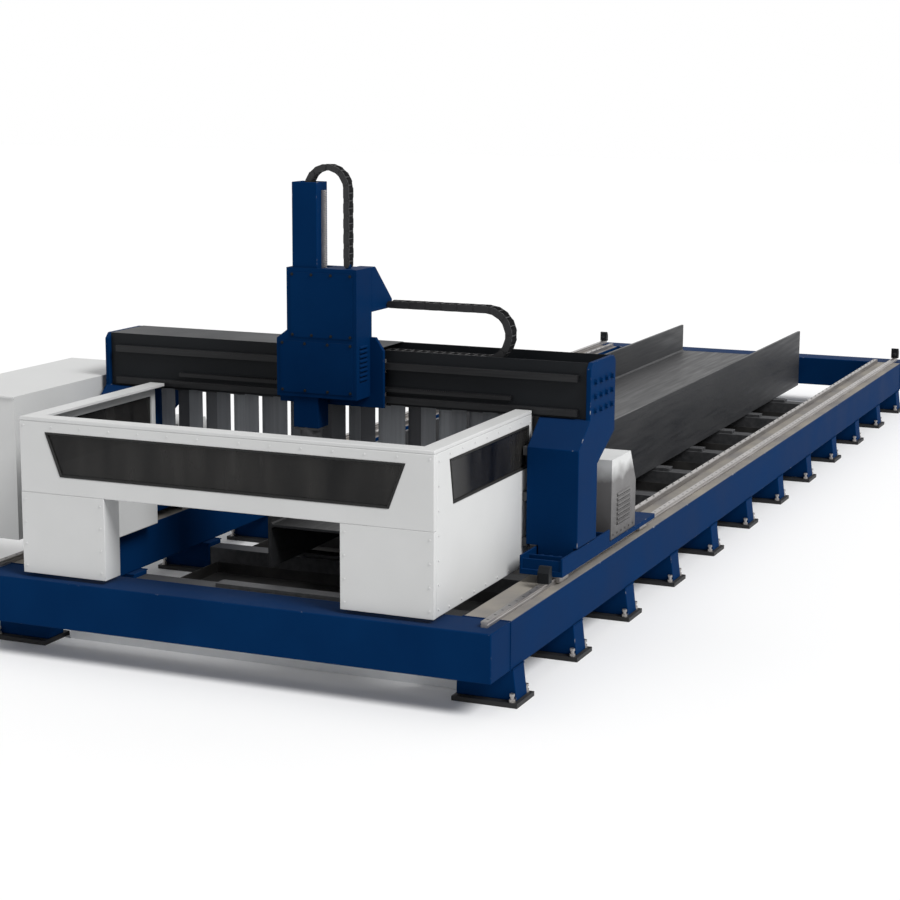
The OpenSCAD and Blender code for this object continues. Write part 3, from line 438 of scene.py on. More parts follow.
# %% Plain steels, copper and iron
def plain_steel(name, low, high, rough, metal, stretch, lines=90.0):
    finish, tree, shader = finish_tree(name, 0.4)
    grain = noise_node(tree, lines, 3.0, stretch)
    patch = noise_node(tree, 2.1, 4.0)
    colour = mix_colour(tree, spread(tree, grain, 0.0, 1.0), low, high)
    colour = mix_colour(tree, spread(tree, patch, 0.0, 0.35), colour, tuple(0.6 * c for c in low))
    tree.links.new(colour, shader.inputs["Base Color"])
    tree.links.new(spread(tree, grain, rough, rough + 0.14), shader.inputs["Roughness"])
    shader.inputs["Metallic"].default_value = metal
    bumped(tree, shader, grain, 0.10, 0.0004)
    return finish


ground_steel = plain_steel(
    "ground_steel", (0.34, 0.32, 0.31), (0.48, 0.46, 0.45), 0.32, 0.85, (1.0, 0.03, 1.0)
)
black_oxide = plain_steel(
    "black_oxide_steel", (0.010, 0.0105, 0.012), (0.020, 0.0205, 0.022), 0.38, 0.3, (0.03, 1.0, 1.0)
)
dull_steel = plain_steel(
    "dull_steel", (0.060, 0.062, 0.066), (0.10, 0.10, 0.105), 0.50, 0.40, (0.4, 0.4, 0.4), 60.0
)
fastener_steel = plain_steel(
    "zinc_fastener", (0.34, 0.34, 0.335), (0.46, 0.46, 0.45), 0.34, 0.8, (1.0, 1.0, 1.0)
)
nozzle_copper = plain_steel(
    "nozzle_copper", (0.62, 0.28, 0.14), (0.78, 0.40, 0.22), 0.26, 0.9, (1.0, 1.0, 0.1)
)
foot_iron = plain_steel(
    "foot_iron", (0.010, 0.010, 0.011), (0.019, 0.019, 0.020), 0.55, 0.1, (0.5, 0.5, 0.5), 80.0
)
print("steels", ground_steel.name, black_oxide.name, dull_steel.name, fastener_steel.name)


# %% Chain plastic and seal rubber
def moulded_plastic():
    finish, tree, shader = finish_tree("chain_plastic", 0.35)
    grain = noise_node(tree, 700.0, 2.0)
    patch = noise_node(tree, 4.0, 3.0)
    colour = mix_colour(tree, spread(tree, patch, 0.0, 1.0), (0.012, 0.012, 0.013), (0.022, 0.022, 0.024))
    dusty = place_group(tree, settled_dust, Amount=0.20, Scale=5.0)
    colour = mix_colour(tree, dusty.outputs["Mask"], colour, (0.12, 0.12, 0.12))
    tree.links.new(colour, shader.inputs["Base Color"])
    tree.links.new(spread(tree, patch, 0.45, 0.6), shader.inputs["Roughness"])
    bumped(tree, shader, grain, 0.2, 0.0004)
    return finish


def seal_rubber():
    finish, tree, shader = finish_tree("seal_rubber", 0.25)
    grain = noise_node(tree, 220.0, 3.0)
    colour = mix_colour(tree, spread(tree, grain, 0.0, 1.0), (0.010, 0.010, 0.010), (0.020, 0.020, 0.020))
    tree.links.new(colour, shader.inputs["Base Color"])
    tree.links.new(spread(tree, grain, 0.6, 0.75), shader.inputs["Roughness"])
    bumped(tree, shader, grain, 0.2, 0.0004)
    return finish


chain_plastic = moulded_plastic()
black_rubber = seal_rubber()
print("plastic and rubber", chain_plastic.name, black_rubber.name)

# %% Strip curtain and windows
STRIP_PITCH = 0.1162


def curtain_vinyl():
    finish, tree, shader = finish_tree("strip_vinyl", 0.4)
    strip = math_node(tree, "FLOOR", math_node(tree, "MULTIPLY", along(tree, "X"), 1.0 / STRIP_PITCH))
    shade = tree.nodes.new("ShaderNodeTexWhiteNoise")
    shade.noise_dimensions = "1D"
    tree.links.new(strip, shade.inputs["W"])
    streak = noise_node(tree, 30.0, 3.0, (1.0, 1.0, 0.05))
    colour = mix_colour(tree, shade.outputs["Value"], (0.035, 0.037, 0.045), (0.42, 0.44, 0.47))
    colour = mix_colour(tree, spread(tree, streak, 0.0, 0.35), colour, (0.11, 0.11, 0.12))
    tree.links.new(colour, shader.inputs["Base Color"])
    tree.links.new(spread(tree, streak, 0.32, 0.5), shader.inputs["Roughness"])
    bumped(tree, shader, streak, 0.2, 0.001)
    return finish


def smoked_glass():
    finish, tree, shader = finish_tree("smoked_glass", 0.17)
    film = noise_node(tree, 5.0, 3.0, (1.0, 1.0, 0.2))
    colour = mix_colour(tree, spread(tree, film, 0.0, 1.0), (0.006, 0.006, 0.0065), (0.026, 0.025, 0.024))
    tree.links.new(colour, shader.inputs["Base Color"])
    tree.links.new(spread(tree, film, 0.16, 0.30), shader.inputs["Roughness"])
    shader.inputs["Alpha"].default_value = 0.93
    return finish


strip_vinyl = curtain_vinyl()
window_glass = smoked_glass()
print("strips and panes", strip_vinyl.name, window_glass.name)

# %% [markdown]
# ## Finishes on the pieces that need no new shape
# Rails, racks, gears and guide blocks are already true to the real ones, tooth by tooth. They keep their
# meshes and only swap the grey they came with for a finish.

# %% Assign finishes to the carried-over pieces
FINISH_OF_SLOT = {
    "blue_paint": deep_blue,
    "pale_paint": pale_coat,
    "black_paint": satin_black,
    "dark_steel": dull_steel,
    "bright_steel": ground_steel,
    "chain_plastic": chain_plastic,
    "smoked_window": window_glass,
    "strip_rubber": strip_vinyl,
    "foot_black": foot_iron,
}
FINISH_OF_NODE = {
    "workpiece_beam": mill_scale,
    "rail_beams": rail_blue,
    # Dull steel on the work rests is partly painted shade under the section.
    "work_rests": dull_steel,
    # The tray sheet is dark partly as painted shade and pale on its near wall as painted light.
    "scrap_trays": tray_sheet,
    "drive_cover_left": cover_coat,
    "drive_cover_right": cover_coat,
    "beam_rails": black_oxide,
    "beam_rack": black_oxide,
}


def finish_of(node):
    return FINISH_OF_NODE.get(node, FINISH_OF_SLOT[slot_of_node[node]])


for node, obj in frame["nodes"].items():
    obj.data.materials.clear()
    obj.data.materials.append(finish_of(node))
print("finishes on", len(frame["nodes"]), "nodes")

# %% [markdown]
# ## Rounded edges on plate, sheet and box section
# No folded sheet or welded box has a knife edge. A Bevel modifier would round every edge alike; doing
# it in bmesh lets the script mark the new faces with an attribute, which the worn-edge effect reads to
# put its chips exactly there. The copy replaces its node and keeps to the node's outline.

# %% A function for bevelled copies
MERGE = 1e-5
FLAT = math.radians(0.6)
CREASE = math.radians(32)


def link_piece(name, mesh, finish):
    piece = bpy.data.objects.new(name, mesh)
    scene.collection.objects.link(piece)
    mesh.materials.clear()
    mesh.materials.append(finish)
    return piece


def welded_copy(node):
    shape = bmesh.new()
    shape.from_mesh(frame["nodes"][node].data)
    bmesh.ops.remove_doubles(shape, verts=shape.verts, dist=MERGE)
    return shape


def softened(node, width):
    shape = welded_copy(node)
    bmesh.ops.dissolve_limit(shape, angle_limit=FLAT, verts=shape.verts, edges=shape.edges)
    shape.faces.layers.float.new("edge")
    bends = [(e, e.calc_face_angle(0.0)) for e in shape.edges if len(e.link_faces) == 2]
    for face in shape.faces:
        face.smooth = False
    for e, angle in bends:
        if FLAT < angle < CREASE:
            for face in e.link_faces:
                face.smooth = True
    sharp = [e for e, angle in bends if angle >= CREASE]
    made = bmesh.ops.bevel(
        shape, geom=sharp, offset=width, offset_type="OFFSET", segments=2, profile=0.5,
        affect="EDGES", clamp_overlap=True,
    )
    tag = shape.faces.layers.float["edge"]
    for face in made["faces"]:
        face[tag] = 1.0
        face.smooth = True
    mesh = bpy.data.meshes.new(node + "_rounded")
    shape.to_mesh(mesh)
    shape.free()
    piece = link_piece(node + "_rounded", mesh, finish_of(node))
    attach(piece, body_of_node[node])
    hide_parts(node)
    return piece


# %% How wide each piece is rounded
EDGE_WIDTH = {
    "rail_beams": 0.008, "end_beams": 0.008, "bed_legs": 0.005, "foot_plates": 0.003,
    "trucks": 0.003, "column_left": 0.007, "column_right": 0.007, "saddle": 0.004, "housing": 0.003,
    "ram": 0.004, "chain_bracket": 0.004, "swivel_arm": 0.002, "crossbeam": 0.006, "cable_tray": 0.001,
    "enclosure_header": 0.006, "enclosure_leg_left": 0.003, "enclosure_leg_right": 0.003,
    "enclosure_side_left": 0.006, "enclosure_side_right": 0.006, "enclosure_rim": 0.005,
    "drive_cover_left": 0.0025, "drive_cover_right": 0.0025, "cabinet_shell": 0.004,
    "cabinet_door_front": 0.002, "cabinet_door_rear": 0.002, "workpiece_beam": 0.003,
    "cross_ties": 0.003, "scrap_trays": 0.002, "work_rests": 0.003, "enclosure_brackets": 0.003,
    "cabinet_mounts": 0.004, "end_stops": 0.003, "curtain_strips": 0.001,
}
rounded = {node: softened(node, width) for node, width in EDGE_WIDTH.items()}
print("rounded", len(rounded), "faces", sum(len(p.data.polygons) for p in rounded.values()))

# %% [markdown]
# ## Chains that give and take
# Each cable chain has a straight run from a bracket to its bend. As the carriage or the ram moves, the
# bend follows at half speed, so the run grows or shrinks. The run could be rigid and tear away from the
# bend; blending it between the bracket's body and the bend's body keeps both ends joined.


# %% Chain runs
def chain_run(node, ends, carrier, roller):
    shape = welded_copy(node)
    for face in shape.faces:
        face.smooth = False
    mesh = bpy.data.meshes.new(node + "_links")
    shape.to_mesh(mesh)
    shape.free()
    piece = link_piece(node + "_links", mesh, chain_plastic)
    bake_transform(piece, carrier, roller, start=ends[0], end=ends[1])
    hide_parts(node)
    return piece


low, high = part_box("cross_chain_run")
cross_ends = (Vector((low.x, low.y, low.z)), Vector((high.x, low.y, low.z)))
chain_run("cross_chain_run", cross_ends, "carriage", "cross_chain")
low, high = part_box("ram_chain_run")
ram_ends = (Vector((low.x, low.y, low.z)), Vector((low.x, low.y, high.z)))
chain_run("ram_chain_run", ram_ends, "carriage", "ram_chain")
print("runs", (cross_ends[1] - cross_ends[0]).length, (ram_ends[1] - ram_ends[0]).length)

# %% [markdown]
# ## Bolts, screws and plugs
# Hundreds of fasteners hold the machine together. Modelling each one is dull, and copies of one object
# would be lost in an export. A Geometry Nodes tree takes a cloud of seats, each a point with the
# direction its screw looks in, and grows a washer and a chamfered head on every one, turned by a seeded
# chance.


# %% Helpers that build a geometry tree
def geometry_tree(name, sockets):
    tree = bpy.data.node_groups.new(name, "GeometryNodeTree")
    tree.interface.new_socket("Geometry", in_out="INPUT", socket_type="NodeSocketGeometry")
    for label, kind, value in sockets:
        socket = tree.interface.new_socket(label, in_out="INPUT", socket_type=kind)
        if value is not None:
            socket.default_value = value
    tree.interface.new_socket("Geometry", in_out="OUTPUT", socket_type="NodeSocketGeometry")
    return tree, tree.nodes.new("NodeGroupInput"), tree.nodes.new("NodeGroupOutput")


def wire(tree, source, target):
    tree.links.new(source, target)


def cylinder_node(tree, start, sides, radius, height):
    node = tree.nodes.new("GeometryNodeMeshCylinder")
    for socket, value in (("Vertices", sides), ("Radius", radius), ("Depth", height)):
        if isinstance(value, str):
            wire(tree, start.outputs[value], node.inputs[socket])
        else:
            node.inputs[socket].default_value = value
    return node


def lifted(tree, mesh, base, height):
    half = tree.nodes.new("ShaderNodeMath")
    half.operation = "MULTIPLY_ADD"
    half.inputs[1].default_value = 0.5
    wire(tree, height, half.inputs[0])
    if base is None:
        half.inputs[2].default_value = 0.0
    else:
        wire(tree, base, half.inputs[2])
    place = tree.nodes.new("ShaderNodeCombineXYZ")
    wire(tree, half.outputs[0], place.inputs["Z"])
    move = tree.nodes.new("GeometryNodeTransform")
    wire(tree, mesh, move.inputs["Geometry"])
    wire(tree, place.outputs[0], move.inputs["Translation"])
    return move.outputs["Geometry"]


def facing_rotation(tree, attribute, axis, rotation=None):
    named = tree.nodes.new("GeometryNodeInputNamedAttribute")
    named.data_type = "FLOAT_VECTOR"
    named.inputs["Name"].default_value = attribute
    align = tree.nodes.new("FunctionNodeAlignRotationToVector")
    align.axis = axis
    wire(tree, named.outputs["Attribute"], align.inputs["Vector"])
    if rotation is not None:
        align.pivot_axis = "Z"
        wire(tree, rotation, align.inputs["Rotation"])
    return align.outputs["Rotation"]


def close_tree(tree, start, end, instances):
    real = tree.nodes.new("GeometryNodeRealizeInstances")
    dress = tree.nodes.new("GeometryNodeSetMaterial")
    wire(tree, instances, real.inputs["Geometry"])
    wire(tree, real.outputs["Geometry"], dress.inputs["Geometry"])
    wire(tree, start.outputs["Finish"], dress.inputs["Material"])
    wire(tree, dress.outputs["Geometry"], end.inputs["Geometry"])


# %% The fastener tree
WASHER_SIDES = 20
CHAMFER_RISE = 0.25
CHAMFER_NARROW = 0.78
fastener_tree, start, end = geometry_tree("fasteners", [
    ("Head Sides", "NodeSocketInt", 6), ("Head Radius", "NodeSocketFloat", 0.02),
    ("Head Height", "NodeSocketFloat", 0.015), ("Washer Radius", "NodeSocketFloat", 0.024),
    ("Washer Height", "NodeSocketFloat", 0.003), ("Seed", "NodeSocketInt", 1),
    ("Finish", "NodeSocketMaterial", None),
])
head = cylinder_node(fastener_tree, start, "Head Sides", "Head Radius", "Head Height")
washer = cylinder_node(fastener_tree, start, WASHER_SIDES, "Washer Radius", "Washer Height")
both = fastener_tree.nodes.new("GeometryNodeJoinGeometry")
washer_height, head_height = start.outputs["Washer Height"], start.outputs["Head Height"]
chamfer = fastener_tree.nodes.new("GeometryNodeExtrudeMesh")
wire(fastener_tree, head.outputs["Mesh"], chamfer.inputs["Mesh"])
wire(fastener_tree, head.outputs["Top"], chamfer.inputs["Selection"])
chamfer_rise = math_node(fastener_tree, "MULTIPLY", head_height, CHAMFER_RISE)
wire(fastener_tree, chamfer_rise, chamfer.inputs["Offset Scale"])
narrowed = fastener_tree.nodes.new("GeometryNodeScaleElements")
narrowed.inputs["Scale"].default_value = CHAMFER_NARROW
wire(fastener_tree, chamfer.outputs["Mesh"], narrowed.inputs["Geometry"])
wire(fastener_tree, chamfer.outputs["Top"], narrowed.inputs["Selection"])
seated_head = lifted(fastener_tree, narrowed.outputs["Geometry"], washer_height, head_height)
seated_washer = lifted(fastener_tree, washer.outputs["Mesh"], None, washer_height)
wire(fastener_tree, seated_head, both.inputs[0])
wire(fastener_tree, seated_washer, both.inputs[0])
chance = fastener_tree.nodes.new("FunctionNodeRandomValue")
for socket in chance.inputs:
    if socket.name == "Max" and socket.type == "VALUE":
        socket.default_value = math.tau
wire(fastener_tree, start.outputs["Seed"], chance.inputs["Seed"])
spin = fastener_tree.nodes.new("FunctionNodeAxisAngleToRotation")
spin.inputs["Axis"].default_value = (0.0, 0.0, 1.0)
wire(fastener_tree, chance.outputs[1], spin.inputs["Angle"])
turned = fastener_tree.nodes.new("FunctionNodeRotateRotation")
turned.rotation_space = "LOCAL"
wire(fastener_tree, facing_rotation(fastener_tree, "axis", "Z"), turned.inputs["Rotation"])
wire(fastener_tree, spin.outputs["Rotation"], turned.inputs["Rotate By"])
scatter = fastener_tree.nodes.new("GeometryNodeInstanceOnPoints")
wire(fastener_tree, start.outputs["Geometry"], scatter.inputs["Points"])
wire(fastener_tree, both.outputs["Geometry"], scatter.inputs["Instance"])
wire(fastener_tree, turned.outputs["Rotation"], scatter.inputs["Rotation"])
close_tree(fastener_tree, start, end, scatter.outputs["Instances"])
print("tree", fastener_tree.name, len(fastener_tree.nodes), "nodes")


# %% Helpers that lay out seats and grow them
def seat_row(first, last, count, axis):
    first, last = Vector(first), Vector(last)
    steps = max(count - 1, 1)
    return [(first.lerp(last, i / steps), Vector(axis)) for i in range(count)]


def seat_mesh(name, seats, runs=None):
    mesh = bpy.data.meshes.new(name)
    mesh.from_pydata([tuple(point) for point, axis in seats], [], [])
    axes = mesh.attributes.new("axis", "FLOAT_VECTOR", "POINT")
    axes.data.foreach_set("vector", [c for point, axis in seats for c in axis])
    if runs is not None:
        along = mesh.attributes.new("run", "FLOAT_VECTOR", "POINT")
        along.data.foreach_set("vector", [c for run in runs for c in run])
    return mesh


def grown(name, mesh, tree, body, finish, slot, **sizes):
    piece = bpy.data.objects.new(name, mesh)
    scene.collection.objects.link(piece)
    growth = piece.modifiers.new("growth", "NODES")
    growth.node_group = tree
    sizes["Finish"] = finish
    for item in tree.interface.items_tree:
        label = item.name.replace(" ", "_")
        if item.in_out == "INPUT" and label in sizes:
            growth[item.identifier] = sizes[label]
    depsgraph = bpy.context.evaluated_depsgraph_get()
    result = bpy.data.meshes.new_from_object(piece.evaluated_get(depsgraph))
    piece.modifiers.clear()
    piece.data = result
    result.name = name
    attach(piece, body)
    print(name, len(mesh.vertices), "seats", len(result.polygons), "faces")
    return piece


def mirrored(seats):
    flip = Vector((-1.0, 1.0, 1.0))
    return seats + [(point * flip, axis * flip) for point, axis in seats]


UP, FRONT, BACK, RIGHT, LEFT = (0, 0, 1), (0, -1, 0), (0, 1, 0), (1, 0, 0), (-1, 0, 0)

# %% Hex bolts on the portal
column_low, column_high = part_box("column_right")
beam_low, beam_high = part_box("crossbeam")
truck_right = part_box("trucks")[1].x
FLANGE_THICK = 0.025
FLANGE_EDGE = 0.023
FLANGE_LONG = 0.470
FLANGE_FROM, FLANGE_TO = 0.235, 0.045
PLATE_EDGE = 0.055
flange_x = (truck_right - FLANGE_FROM, truck_right - FLANGE_TO)
flange_top = column_low.z + FLANGE_THICK
portal_seats = []
for y in (column_low.y + FLANGE_EDGE, column_low.y + FLANGE_LONG - FLANGE_EDGE):
    portal_seats += seat_row(*[(x, y, flange_top) for x in flange_x], 4, UP)
for z in (beam_low.z + PLATE_EDGE, (beam_low.z + beam_high.z) / 2, beam_high.z - PLATE_EDGE):
    first = (column_high.x, beam_low.y + PLATE_EDGE, z)
    last = (column_high.x, beam_high.y - PLATE_EDGE, z)
    portal_seats += seat_row(first, last, 4, RIGHT)
grown(
    "portal_bolts", seat_mesh("portal_bolts", mirrored(portal_seats)), fastener_tree, "gantry", deep_blue,
    "blue_paint", Head_Sides=6, Head_Radius=0.0175, Head_Height=0.014, Washer_Radius=0.021,
    Washer_Height=0.003, Seed=3,
)

# %% Screws on the enclosure and the covers
front_low, front_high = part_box("enclosure_header")
leg_low, leg_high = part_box("enclosure_leg_right")
side_low, side_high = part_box("enclosure_side_right")
cover_low, cover_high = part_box("drive_cover_right")
SHEET_EDGE = 0.03
END_INSET = 0.05
SIDE_INSET = 0.2
HEADER_FROM = 0.15
PAN_SCREW = {
    "Head_Sides": 12, "Head_Radius": 0.0065, "Head_Height": 0.0035,
    "Washer_Radius": 0.009, "Washer_Height": 0.0012,
}
sheet_seats = []
for x in (leg_low.x + SHEET_EDGE, leg_high.x - SHEET_EDGE):
    ends = [(x, leg_low.y, z) for z in (leg_low.z + END_INSET, leg_high.z - END_INSET)]
    sheet_seats += seat_row(*ends, 4, FRONT)
top_z = front_high.z - SHEET_EDGE
ends = [(x, front_low.y, top_z) for x in (HEADER_FROM, front_high.x - SHEET_EDGE)]
sheet_seats += seat_row(*ends, 7, FRONT)
for y in (side_low.y + SHEET_EDGE, side_high.y - SHEET_EDGE):
    ends = [(side_high.x, y, z) for z in (side_low.z + END_INSET, side_high.z - END_INSET)]
    sheet_seats += seat_row(*ends, 7, RIGHT)
for z in (side_low.z + SHEET_EDGE, side_high.z - SHEET_EDGE):
    ends = [(side_high.x, y, z) for y in (side_low.y + SIDE_INSET, side_high.y - SIDE_INSET)]
    sheet_seats += seat_row(*ends, 7, RIGHT)
cover_foot = cover_low.z + SHEET_EDGE
ends = [(cover_high.x, y, cover_foot) for y in (cover_low.y + END_INSET, cover_high.y - END_INSET)]
cover_seats = seat_row(*ends, 6, RIGHT)
grown(
    "sheet_screws", seat_mesh("sheet_screws", mirrored(sheet_seats)), fastener_tree, "gantry", pale_coat,
    "pale_paint", Seed=5, **PAN_SCREW,
)
grown(
    "cover_screws", seat_mesh("cover_screws", mirrored(cover_seats)), fastener_tree, "gantry", cover_coat,
    "pale_paint", Seed=6, **PAN_SCREW,
)

# %% Screws on the carriage's covers
house_low, house_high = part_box("housing")
PANEL_IN = 0.045
PANEL_TOP_IN = 0.015
UPPER_WIDE = 0.53
LOWER_HIGH = 0.385
lower_top = house_low.z + LOWER_HIGH
right_x = house_high.x - PANEL_IN
upper_x = house_high.x - UPPER_WIDE + PANEL_IN
carriage_seats = []
for left_x, bottom, top in (
    (house_low.x + PANEL_IN, house_low.z + PANEL_IN, lower_top - PANEL_TOP_IN),
    (upper_x, lower_top + PANEL_IN, house_high.z - PANEL_IN),
):
    for z in (bottom, top):
        carriage_seats += seat_row((left_x, house_low.y, z), (right_x, house_low.y, z), 4, FRONT)
grown(
    "carriage_screws", seat_mesh("carriage_screws", carriage_seats), fastener_tree, "carriage", satin_black,
    "black_paint", Head_Sides=12, Head_Radius=0.008, Head_Height=0.005, Washer_Radius=0.011,
    Washer_Height=0.0015, Seed=7,
)

# %% Plugs in the long rails and screws in the racks
rail_low, rail_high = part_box("long_rails")
rack_low, rack_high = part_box("long_racks")
RAIL_HALF = 0.0225
BEAM_WIDE = 0.32
RACK_IN, RACK_BACK = 0.025, 0.016
rail_mid = rail_high.x - RAIL_HALF
RAIL_END, RAIL_PLUGS = 0.06, 106
RACK_END, RACK_SCREWS = 0.08, 60
rail_ends = [(rail_mid, y, rail_high.z) for y in (rail_low.y + RAIL_END, rail_high.y - RAIL_END)]
rail_seats = seat_row(*rail_ends, RAIL_PLUGS, UP)
bed_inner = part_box("rail_beams")[1].x - BEAM_WIDE
rack_x = bed_inner + RACK_IN + RACK_BACK
rack_ends = [(rack_x, y, rack_high.z) for y in (rack_low.y + RACK_END, rack_high.y - RACK_END)]
rack_seats = seat_row(*rack_ends, RACK_SCREWS, UP)
grown(
    "rail_plugs", seat_mesh("rail_plugs", mirrored(rail_seats)), fastener_tree, "bed", dull_steel,
    "dark_steel", Head_Sides=16, Head_Radius=0.0085, Head_Height=0.00001, Washer_Radius=0.010,
    Washer_Height=0.00002, Seed=11,
)
grown(
    "rack_screws", seat_mesh("rack_screws", mirrored(rack_seats)), fastener_tree, "bed", fastener_steel,
    "bright_steel", Head_Sides=12, Head_Radius=0.0075, Head_Height=0.006, Washer_Radius=0.009,
    Washer_Height=0.001, Seed=13,
)

# %% [markdown]
# ## Pressed louvres
# The doors, the drive covers and the carriage breathe through slots, and each slot has a rounded hood
# pressed out above it. A hood is a stretched cylinder sunk in the sheet; a second tree lays one along
# each slot, using two directions per seat, one out of the sheet and one along the slot.

# %% The louvre tree
louvre_tree, start, end = geometry_tree("louvres", [
    ("Length", "NodeSocketFloat", 0.4), ("Reach", "NodeSocketFloat", 0.008),
    ("Rise", "NodeSocketFloat", 0.012), ("Finish", "NodeSocketMaterial", None),
])
bar = cylinder_node(louvre_tree, start, 14, 1.0, 1.0)
lay = louvre_tree.nodes.new("GeometryNodeTransform")
lay.inputs["Rotation"].default_value = (0.0, math.pi / 2, 0.0)
size = louvre_tree.nodes.new("ShaderNodeCombineXYZ")
for label, axis in (("Length", "X"), ("Rise", "Y"), ("Reach", "Z")):
    wire(louvre_tree, start.outputs[label], size.inputs[axis])
stretch = louvre_tree.nodes.new("GeometryNodeTransform")
wire(louvre_tree, bar.outputs["Mesh"], lay.inputs["Geometry"])
wire(louvre_tree, lay.outputs["Geometry"], stretch.inputs["Geometry"])
wire(louvre_tree, size.outputs[0], stretch.inputs["Scale"])
outward = facing_rotation(louvre_tree, "axis", "Z")
along_slot = facing_rotation(louvre_tree, "run", "X", outward)
scatter = louvre_tree.nodes.new("GeometryNodeInstanceOnPoints")
wire(louvre_tree, start.outputs["Geometry"], scatter.inputs["Points"])
wire(louvre_tree, stretch.outputs["Geometry"], scatter.inputs["Instance"])
wire(louvre_tree, along_slot, scatter.inputs["Rotation"])
close_tree(louvre_tree, start, end, scatter.outputs["Instances"])
print("tree", louvre_tree.name)

# %% Louvres on covers, carriage and doors
HOOD_RISE = 0.010
COVER_FOOT, COVER_SPAN, COVER_SHORT, COVER_REACH = 0.09, 0.204, 0.25, 0.010
HOUSE_BACK, HOUSE_FOOT, HOUSE_SPAN, HOUSE_LONG, HOUSE_REACH = 0.1075, 0.12, 0.224, 0.118, 0.007
DOOR_FACE, DOOR_FOOT, DOOR_HEAD, DOOR_SPAN, DOOR_LONG, DOOR_REACH = 0.036, 0.088, 0.272, 0.18, 0.44, 0.010


def louvre_bank(name, seats, body, finish, slot, length, reach):
    mesh = seat_mesh(name, seats, [BACK] * len(seats))
    return grown(name, mesh, louvre_tree, body, finish, slot, Length=length, Reach=reach, Rise=HOOD_RISE)


cover_mid = (cover_low.y + cover_high.y) / 2
cover_slot = cover_high.y - cover_low.y - COVER_SHORT
first_slot = cover_low.z + COVER_FOOT + HOOD_RISE
ends = [(cover_high.x, cover_mid, z) for z in (first_slot, first_slot + COVER_SPAN)]
hoods = mirrored(seat_row(*ends, 7, RIGHT))
louvre_bank("cover_louvres", hoods, "gantry", cover_coat, "pale_paint", cover_slot, COVER_REACH)

house_mid = house_high.y - HOUSE_BACK
first_slot = house_low.z + HOUSE_FOOT + HOOD_RISE
ends = [(house_high.x, house_mid, z) for z in (first_slot, first_slot + HOUSE_SPAN)]
hoods = seat_row(*ends, 8, RIGHT)
louvre_bank("carriage_louvres", hoods, "carriage", deep_blue, "blue_paint", HOUSE_LONG, HOUSE_REACH)

for door, body in (("cabinet_door_front", "door_front"), ("cabinet_door_rear", "door_rear")):
    door_low, door_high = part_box(door)
    face = door_low.x + DOOR_FACE
    middle = (door_low.y + door_high.y) / 2
    hoods = []
    for base in (door_low.z + DOOR_FOOT, door_high.z - DOOR_HEAD):
        lift = base + HOOD_RISE
        hoods += seat_row((face, middle, lift), (face, middle, lift + DOOR_SPAN), 6, LEFT)
    louvre_bank(body + "_louvres", hoods, body, pale_coat, "pale_paint", DOOR_LONG, DOOR_REACH)

# %% [markdown]
# ## Window seals
# Each pane sits in a black rubber profile that covers the joint between glass and sheet. It could be a
# swept curve. A strip built from the pane's own outline, moved inwards by the seal's width, follows the
# slanting ends without a twist.


# %% Helpers that draw a seal
def inset(outline, amount):
    moved = []
    count = len(outline)
    for i, corner in enumerate(outline):
        before = (corner - outline[i - 1]).normalized()
        after = (outline[(i + 1) % count] - corner).normalized()
        normal_a = Vector((-before.y, before.x))
        normal_b = Vector((-after.y, after.x))
        bisect = (normal_a + normal_b).normalized()
        moved.append(corner + bisect * (amount / bisect.dot(normal_a)))
    return moved


def seal_faces(outline, width, depth_low, depth_high, lift):
    crown = (depth_low + depth_high) / 2
    rings = [
        (outline, depth_low), (outline, crown), (inset(outline, 0.3 * width), depth_high),
        (inset(outline, 0.7 * width), depth_high), (inset(outline, width), crown),
        (inset(outline, width), depth_low),
    ]
    points = [lift(corner, depth) for ring, depth in rings for corner in ring]
    count = len(outline)
    faces = []
    for r in range(len(rings)):
        for i in range(count):
            a, b = r * count + i, r * count + (i + 1) % count
            step = ((r + 1) % len(rings)) * count
            faces.append((a, b, step + (i + 1) % count, step + i))
    return points, faces


def seal_mesh(name, parts):
    shape = bmesh.new()
    for points, faces in parts:
        verts = [shape.verts.new(p) for p in points]
        for face in faces:
            shape.faces.new([verts[i] for i in face])
    bmesh.ops.recalc_face_normals(shape, faces=shape.faces)
    mesh = bpy.data.meshes.new(name)
    shape.to_mesh(mesh)
    shape.free()
    return mesh


def pane_outline(node, across, sign):
    points = sorted({
        (round(v.co[across], 4), round(v.co.z, 4)) for v in frame["nodes"][node].data.vertices
        if sign * v.co.x >= 0 or across == 0
    }, key=lambda p: (p[1], p[0]))
    bottom, top = points[:2], points[-2:]
    return [Vector(bottom[0]), Vector(bottom[1]), Vector(top[1]), Vector(top[0])]


# %% Seals round the panes
SEAL_WIDTH = 0.016
SEAL_HIGH = 0.016
front_pane_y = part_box("front_window")[0].y
side_pane_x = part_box("side_windows")[1].x
front_outline = pane_outline("front_window", 0, 1)
side_outline = pane_outline("side_windows", 1, 1)
seal_parts = [seal_faces(
    front_outline, SEAL_WIDTH, 0.0, SEAL_HIGH, lambda c, d: (c.x, front_pane_y - d, c.y)
)]
for sign in (1, -1):
    seal_parts.append(seal_faces(
        side_outline, SEAL_WIDTH, 0.0, SEAL_HIGH,
        lambda c, d, s=sign: (s * (side_pane_x + d), c.x, c.y),
    ))
seals = link_piece("window_seals", seal_mesh("window_seals", seal_parts), black_rubber)
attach(seals, "gantry")
print("seals", len(seals.data.polygons), "faces")

# %% [markdown]
# ## Weld beads on the bed
# The bed is welded, and a weld shows as a row of small overlapping scallops. Bump alone would vanish in a
# side view. A third tree walks along the seams and sets a small bead every few millimetres, half of it
# sunk in the steel.

